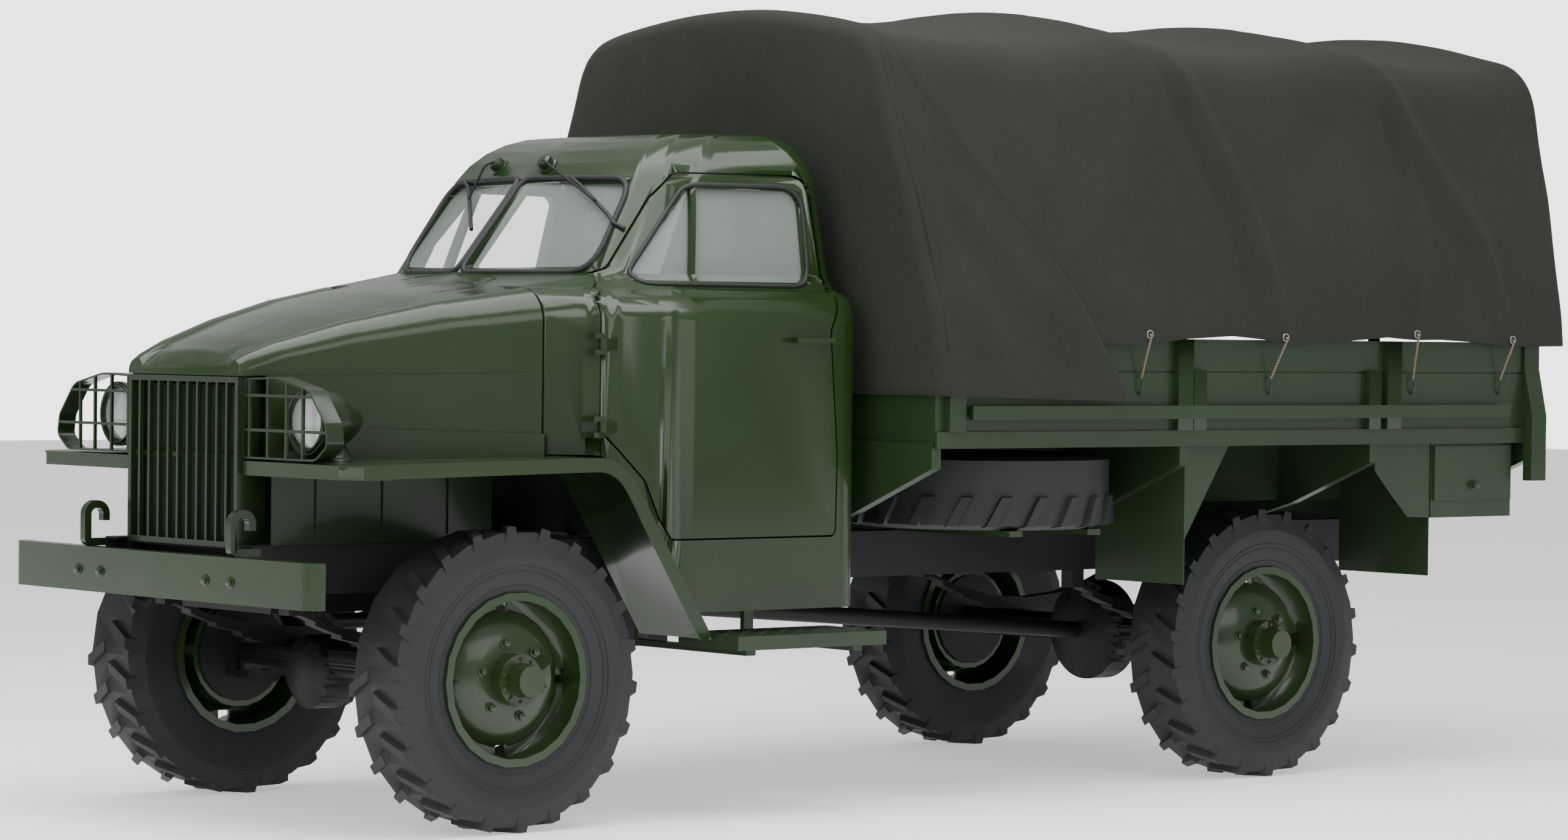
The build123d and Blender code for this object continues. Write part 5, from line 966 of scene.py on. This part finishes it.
# %% Bolt the wheels
stud_circle, flange_circle = 0.118, 0.067
stud_turn, flange_turn = radians(15), radians(18)
wheel_bodies = {"front_left": 1, "front_right": -1, "rear_left": 1, "rear_right": -1}
for wheel, side in wheel_bodies.items():
    low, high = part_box("tyre_" + wheel)
    middle = (Vector(low) + Vector(high)) / 2
    for label, circle, count, turn, radius, height in (
            ("studs_", stud_circle, 6, stud_turn, 0.013, 0.016),
            ("flange_bolts_", flange_circle, 10, flange_turn, 0.006, 0.007)):
        places = []
        for k in range(count):
            angle = turn + 2 * pi * k / count
            start = (middle.x + circle * cos(angle), side * 1.3, middle.z + circle * sin(angle))
            point, normal = surface_at("rim_" + wheel, start, (0, -side, 0))
            places.append((point, (0, side, 0)))
        bolts = bolt_set(label + wheel, places, radius, height)
        give_finish(bolts, wheel_green, "wheel_" + wheel)
    for number, radius in enumerate((0.292, 0.336, 0.352)):
        path = []
        for k in range(96):
            angle = 2 * pi * k / 96
            start = (middle.x + radius * cos(angle), side * 1.3, middle.z + radius * sin(angle))
            point, normal = surface_at("tyre_" + wheel, start, (0, -side, 0))
            path.append(point)
        ring = bead_along("sidewall_ring_%s_%d" % (wheel, number), path, 0.0022, closed=True)
        give_finish(ring, tyre_rubber, "wheel_" + wheel)
print("wheels are bolted")

# %% [markdown]
# Black rubber seals hold the windscreen and the door windows. Each outline is
# given across and up, and each of its points is cast onto the cab, so the bead
# follows the sheet metal.


# %% Seal the windows
def rounded_outline(corners, radii, per_corner=7):
    """Give a polygon's outline with its corners rounded."""
    outline = []
    count = len(corners)
    for k, corner in enumerate(corners):
        before, after = Vector(corners[k - 1]), Vector(corners[(k + 1) % count])
        corner = Vector(corner)
        back, ahead = (before - corner).normalized(), (after - corner).normalized()
        cut = radii[k] / max(0.2, (back - ahead).length / 2)
        start, end = corner + back * cut, corner + ahead * cut
        for step in range(per_corner):
            t = step / (per_corner - 1)
            outline.append((1 - t) ** 2 * start + 2 * t * (1 - t) * corner + t ** 2 * end)
    dense = []
    for k, point in enumerate(outline):
        following = outline[(k + 1) % len(outline)]
        parts = max(1, int((following - point).length / 0.03))
        dense.extend(point + (following - point) * j / parts for j in range(parts))
    return dense


screen_corners = [(0.008, 1.734), (0.522, 1.738), (0.484, 2.045), (0.008, 2.049)]
screen_radii = [0.03, 0.062, 0.062, 0.03]
for side, word in ((1, "left"), (-1, "right")):
    path = []
    for across, up in rounded_outline(screen_corners, screen_radii):
        point, normal = surface_at("cab_shell", (2.9, side * across, up), (-1, 0, 0))
        path.append(point + normal * 0.001)
    seal = bead_along("windscreen_seal_" + word, path, 0.0105, closed=True)
    give_finish(seal, seal_rubber, "chassis")
window_corners = [(-0.576, 1.702), (-0.861, 2.028), (-1.290, 2.028), (-1.275, 1.702)]
window_radii = [0.035, 0.042, 0.06, 0.054]
for side, word in ((1, "left"), (-1, "right")):
    path = []
    for ahead, up in rounded_outline(window_corners, window_radii):
        point, normal = surface_at("door_" + word, (axle_x + ahead, side * 1.4, up),
                                   (0, -side, 0))
        path.append(point)
    seal = bead_along("window_seal_" + word, path, 0.008, closed=True)
    give_finish(seal, seal_rubber, "door_" + word)
print("window seals are laid")

# %% [markdown]
# Two wipers hang from motors above the windscreen. An arm reaches down from each
# motor to the middle of a straight rubber blade that lies close to the glass.


# %% Hang the wipers
def on_screen(across, up, off):
    """Give a point over the cab's front at a height off its surface."""
    best = None
    for node in ("cab_shell", "cab_glass"):
        hit, point, normal, face = shown(node).ray_cast(Vector((2.9, across, up)),
                                                        Vector((-1, 0, 0)))
        if hit and (best is None or point.x > best[0].x):
            best = (point, normal if normal.x > 0 else -normal)
    lean = best[1]
    return best[0] + Vector((max(lean.x, 0.5), 0, max(lean.z, 0.3))).normalized() * off


wiper_places = {
    "left": ((0.070, 2.092), (0.395, 1.957), (0.235, 2.040), (0.552, 1.872)),
    "right": ((-0.225, 2.092), (-0.262, 1.968), (-0.395, 2.040), (-0.115, 1.872)),
}
for word, (pivot, middle, upper, lower) in wiper_places.items():
    arm = bead_along("wiper_arm_" + word, smooth_path(
        [on_screen(*pivot, 0.030), on_screen(pivot[0] * 0.8 + middle[0] * 0.2,
                                             pivot[1] * 0.8 + middle[1] * 0.2, 0.046),
         on_screen((pivot[0] + middle[0]) / 2, (pivot[1] + middle[1]) / 2, 0.044),
         on_screen(*middle, 0.026)]), 0.0042)
    give_finish(arm, trim_black, "chassis")
    blade = bead_along("wiper_blade_" + word, [on_screen(
        upper[0] + (lower[0] - upper[0]) * k / 8, upper[1] + (lower[1] - upper[1]) * k / 8, 0.013)
        for k in range(9)], 0.0065)
    give_finish(blade, seal_rubber, "chassis")
    seat, lean = surface_at("cab_shell", (2.9, pivot[0], pivot[1]), (-1, 0, 0))
    motor = bolt_set("wiper_motor_" + word, [(seat - lean * 0.002, lean)], 0.026, 0.034,
                     sides=20)
    give_finish(motor, army_green, "chassis")
print("wipers hang over the glass")

# %% [markdown]
# A headlamp is a chromed bowl behind a domed glass with upright flutes. Both
# start as a ball that is flattened and cut in half.

# %% Light the headlamps
lamp_low, lamp_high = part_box("lamp_lenses")
lens_radius = (lamp_high[2] - lamp_low[2]) / 2
lens_z = (lamp_high[2] + lamp_low[2]) / 2
lens_y = lamp_high[1] - lens_radius


def half_ball(name, radius, depth, side):
    """Make a flat dome that faces forward, or a bowl when its depth is negative."""
    bpy.ops.object.select_all(action="DESELECT")
    bpy.ops.mesh.primitive_uv_sphere_add(segments=64, ring_count=32, radius=1.0)
    dome = bpy.context.object
    dome.name = dome.data.name = name
    bpy.ops.object.mode_set(mode="EDIT")
    bpy.ops.mesh.select_all(action="SELECT")
    bpy.ops.mesh.bisect(plane_co=(0, 0, 0.001), plane_no=(0, 0, 1), clear_inner=True)
    bpy.ops.object.mode_set(mode="OBJECT")
    place = Matrix.Translation((lamp_low[0] + 0.0015, side * lens_y, lens_z))
    turn = Matrix(((0, 0, depth, 0), (0, radius, 0, 0), (radius, 0, 0, 0), (0, 0, 0, 1)))
    dome.data.transform(place @ turn)
    return dome


for side, word in ((1, "left"), (-1, "right")):
    glass = half_ball("lamp_glass_" + word, lens_radius, 0.026, side)
    for vertex in glass.data.vertices:
        flute = abs(sin((vertex.co.y - side * lens_y) * pi / 0.012))
        edge = hypot(vertex.co.y - side * lens_y, vertex.co.z - lens_z) / lens_radius
        vertex.co.x += 0.0012 * flute * max(0.0, 1.0 - edge ** 6)
    bpy.ops.object.shade_smooth()
    give_finish(glass, lamp_glass, "chassis")
    bowl = half_ball("lamp_bowl_" + word, lens_radius * 0.97, 0.004, side)
    bpy.ops.object.shade_smooth()
    give_finish(bowl, bright_metal, "chassis")
    if side == 1:
        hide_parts("lamp_lenses")
    rim = bead_along("lamp_rim_" + word, [
        (lamp_high[0] + 0.001, side * lens_y + (lens_radius + 0.007) * cos(2 * pi * k / 48),
         lens_z + (lens_radius + 0.007) * sin(2 * pi * k / 48)) for k in range(48)],
        0.0055, closed=True)
    give_finish(rim, grille_green, "chassis")
print("headlamps have a bowl and a fluted glass")

# %% [markdown]
# The seats are padded in dark cloth. A cushion starts as a block with rounded
# edges, swells between its corners, and is drawn in along its sewn seams.


# %% Pad the seats
def padded_block(name, low, high, swell, seams):
    """Make a crowned cushion between two corners, with seams across its width."""
    bpy.ops.object.select_all(action="DESELECT")
    bpy.ops.mesh.primitive_cube_add(size=2.0)
    pad = bpy.context.object
    pad.name = pad.data.name = name
    size = [(h - l) / 2 for l, h in zip(low, high)]
    bpy.ops.object.mode_set(mode="EDIT")
    bpy.ops.mesh.select_all(action="SELECT")
    bpy.ops.mesh.subdivide(number_cuts=22)
    bpy.ops.object.mode_set(mode="OBJECT")
    middle = [(h + l) / 2 for l, h in zip(low, high)]
    for vertex in pad.data.vertices:
        u, v, w = vertex.co
        soft = vertex.co.copy()
        for axis in range(3):
            others = [abs(vertex.co[j]) for j in range(3) if j != axis]
            soft[axis] *= 1 - 0.10 * max(others) ** 8
        groove = min(abs(v - seam) for seam in seams)
        pinch = 0.012 * max(0.0, 1 - (groove / 0.05) ** 2)
        edge = (1 - abs(u) ** 6) * (1 - abs(v) ** 6) if abs(w) > 0.98 else 0.0
        vertex.co = Vector((middle[0] + soft.x * size[0], middle[1] + soft.y * size[1],
                            middle[2] + soft.z * size[2]))
        if abs(w) > 0.98 and w > 0:
            vertex.co.z += swell * edge - pinch
        if abs(u) > 0.98:
            vertex.co.x += (swell * (1 - w ** 4) * (1 - v ** 6) - pinch) * (1 if u > 0 else -1)
    bpy.ops.object.shade_smooth()
    return pad


seat_low, seat_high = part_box("seat_cushions")
seats = []
for label, side in (("left", 1), ("right", -1)):
    inner, outer = sorted((side * 0.06, side * (seat_high[1] - 0.02)))
    seats.append(padded_block(
        "seat_base_" + label, (seat_low[0] + 0.15, inner, seat_low[2] + 0.004),
        (seat_high[0] - 0.02, outer, seat_low[2] + 0.130), 0.012, (-0.4, 0.0, 0.4)))
    seats.append(padded_block(
        "seat_back_" + label, (seat_low[0] + 0.02, inner, seat_low[2] + 0.10),
        (seat_low[0] + 0.13, outer, seat_high[2] - 0.02), 0.010, (-0.4, 0.0, 0.4)))
for pad in seats:
    give_finish(pad, seat_cover, "chassis")
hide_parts("seat_cushions")
print("padded", len(seats), "cushions")

# %% [markdown]
# Bolts hold the bumper, and the canopy's hem is tied down through steel eyelets
# by short taut ropes to hooks on the bed side.

# %% Bolt the bumper and tie the canopy
bumper_places = []
for side in (1, -1):
    for across in (0.434, 0.300):
        point, normal = surface_at("front_bumper", (2.9, side * across, 0.775), (-1, 0, 0))
        bumper_places.append((point, (1, 0, 0)))
bumper_bolts = bolt_set("bumper_bolts", bumper_places, 0.014, 0.011)
give_finish(bumper_bolts, army_green, "chassis")

eyelets = [(-2.424, 1.560), (-3.076, 1.554), (-3.746, 1.571), (-4.266, 1.555)]
eyelet_places = []
for side in (1, -1):
    for number, (ahead, up) in enumerate(eyelets):
        hit, point, normal, face = main_cloth.ray_cast(
            Vector((axle_x + ahead, side * 1.5, up)), Vector((0, -side, 0)))
        if not hit:
            continue
        eyelet_places.append((side, number, point, normal))
for side, number, point, normal in eyelet_places:
    word = ("left_" if side > 0 else "right_") + str(number)
    ring = bead_along("eyelet_" + word, [
        (point.x + 0.013 * cos(2 * pi * k / 20), point.y + side * 0.002,
         point.z + 0.013 * sin(2 * pi * k / 20)) for k in range(20)], 0.0035, closed=True)
    give_finish(ring, worn_steel, "chassis")
    foot = Vector((point.x + 0.035 * sin(number * 2.3), 0, 1.395))
    hit, seat, lean, face = shown("bed_sides").ray_cast(
        Vector((foot.x, side * 1.5, foot.z)), Vector((0, -side, 0)))
    if not hit:
        continue
    seat_y = seat.y + side * 0.004
    rope = bead_along("tie_rope_" + word, smooth_path([
        (point.x, point.y - side * 0.004, point.z), (point.x, point.y + side * 0.007,
                                                    point.z - 0.010),
        ((point.x + foot.x) / 2, (point.y + seat_y) / 2 + side * 0.006,
         (point.z + foot.z) / 2), (foot.x, seat_y + side * 0.006, foot.z + 0.012)]), 0.0042)
    give_finish(rope, tan_rope, "chassis")
    hook = bead_along("tie_hook_" + word, smooth_path([
        (foot.x, seat_y - side * 0.006, foot.z - 0.035), (foot.x, seat_y + side * 0.001,
                                                          foot.z - 0.034),
        (foot.x, seat_y + side * 0.012, foot.z - 0.012), (foot.x, seat_y + side * 0.012,
                                                          foot.z + 0.006),
        (foot.x, seat_y + side * 0.004, foot.z + 0.020)]), 0.0038)
    give_finish(hook, bed_green, "chassis")
print("tied", len(eyelet_places), "eyelets")

# %% [markdown]
# The steps have a raised tread, the locker lids a turned knob, and the cowl a
# vent lid whose folded edge stands a little proud of the sheet metal.

# %% Add treads, knobs and the vent lid
for side, word in ((1, "left"), (-1, "right")):
    places = []
    for row in range(7):
        for column in range(15):
            x = axle_x - 0.80 - 0.038 * column
            y = side * (0.735 + 0.038 * row)
            hit, point, normal, face = shown("steps").ray_cast(
                Vector((x, y, 0.66)), Vector((0, 0, -1)))
            if hit and normal.z > 0.9:
                slant = 0.6 if (row + column) % 2 else -0.6
                places.append((point, slant))
    bpy.ops.object.select_all(action="DESELECT")
    bpy.ops.mesh.primitive_cylinder_add(vertices=8, radius=0.010, depth=0.0024)
    stud = bpy.context.object
    bpy.ops.object.mode_set(mode="EDIT")
    bpy.ops.mesh.select_all(action="SELECT")
    bpy.ops.transform.resize(value=(1.5, 0.42, 1.0))
    bpy.ops.mesh.bevel(offset=0.0008, segments=2, affect="EDGES")
    bpy.ops.object.mode_set(mode="OBJECT")
    tread = join_copies("step_tread_" + word, stud, [
        Matrix.Translation(point) @ Matrix.Rotation(slant, 4, "Z") for point, slant in places])
    give_finish(tread, bed_green, "chassis")

for side, word in ((1, "left"), (-1, "right")):
    point, normal = surface_at("locker_lid_" + word, (axle_x - 4.13, side * 1.4, 1.03),
                               (0, -side, 0))
    knob = bolt_set("locker_knob_" + word, [(point, (0, side, 0))], 0.014, 0.022, sides=20)
    give_finish(knob, bed_green, "locker_lid_" + word)

lid_outline = []
for x, y in rounded_outline([(1.500, -0.24), (1.600, -0.24), (1.600, 0.24), (1.500, 0.24)],
                            [0.03, 0.03, 0.03, 0.03]):
    hit, point, normal, face = shown("cab_shell").ray_cast(Vector((x, y, 2.0)),
                                                           Vector((0, 0, -1)))
    if hit and point.z > 1.6:
        lid_outline.append(point)
if len(lid_outline) > 20:
    vent = bead_along("cowl_vent_edge", lid_outline, 0.0032, closed=True)
    give_finish(vent, army_green, "chassis")
print("treads, knobs and vent lid are in place")
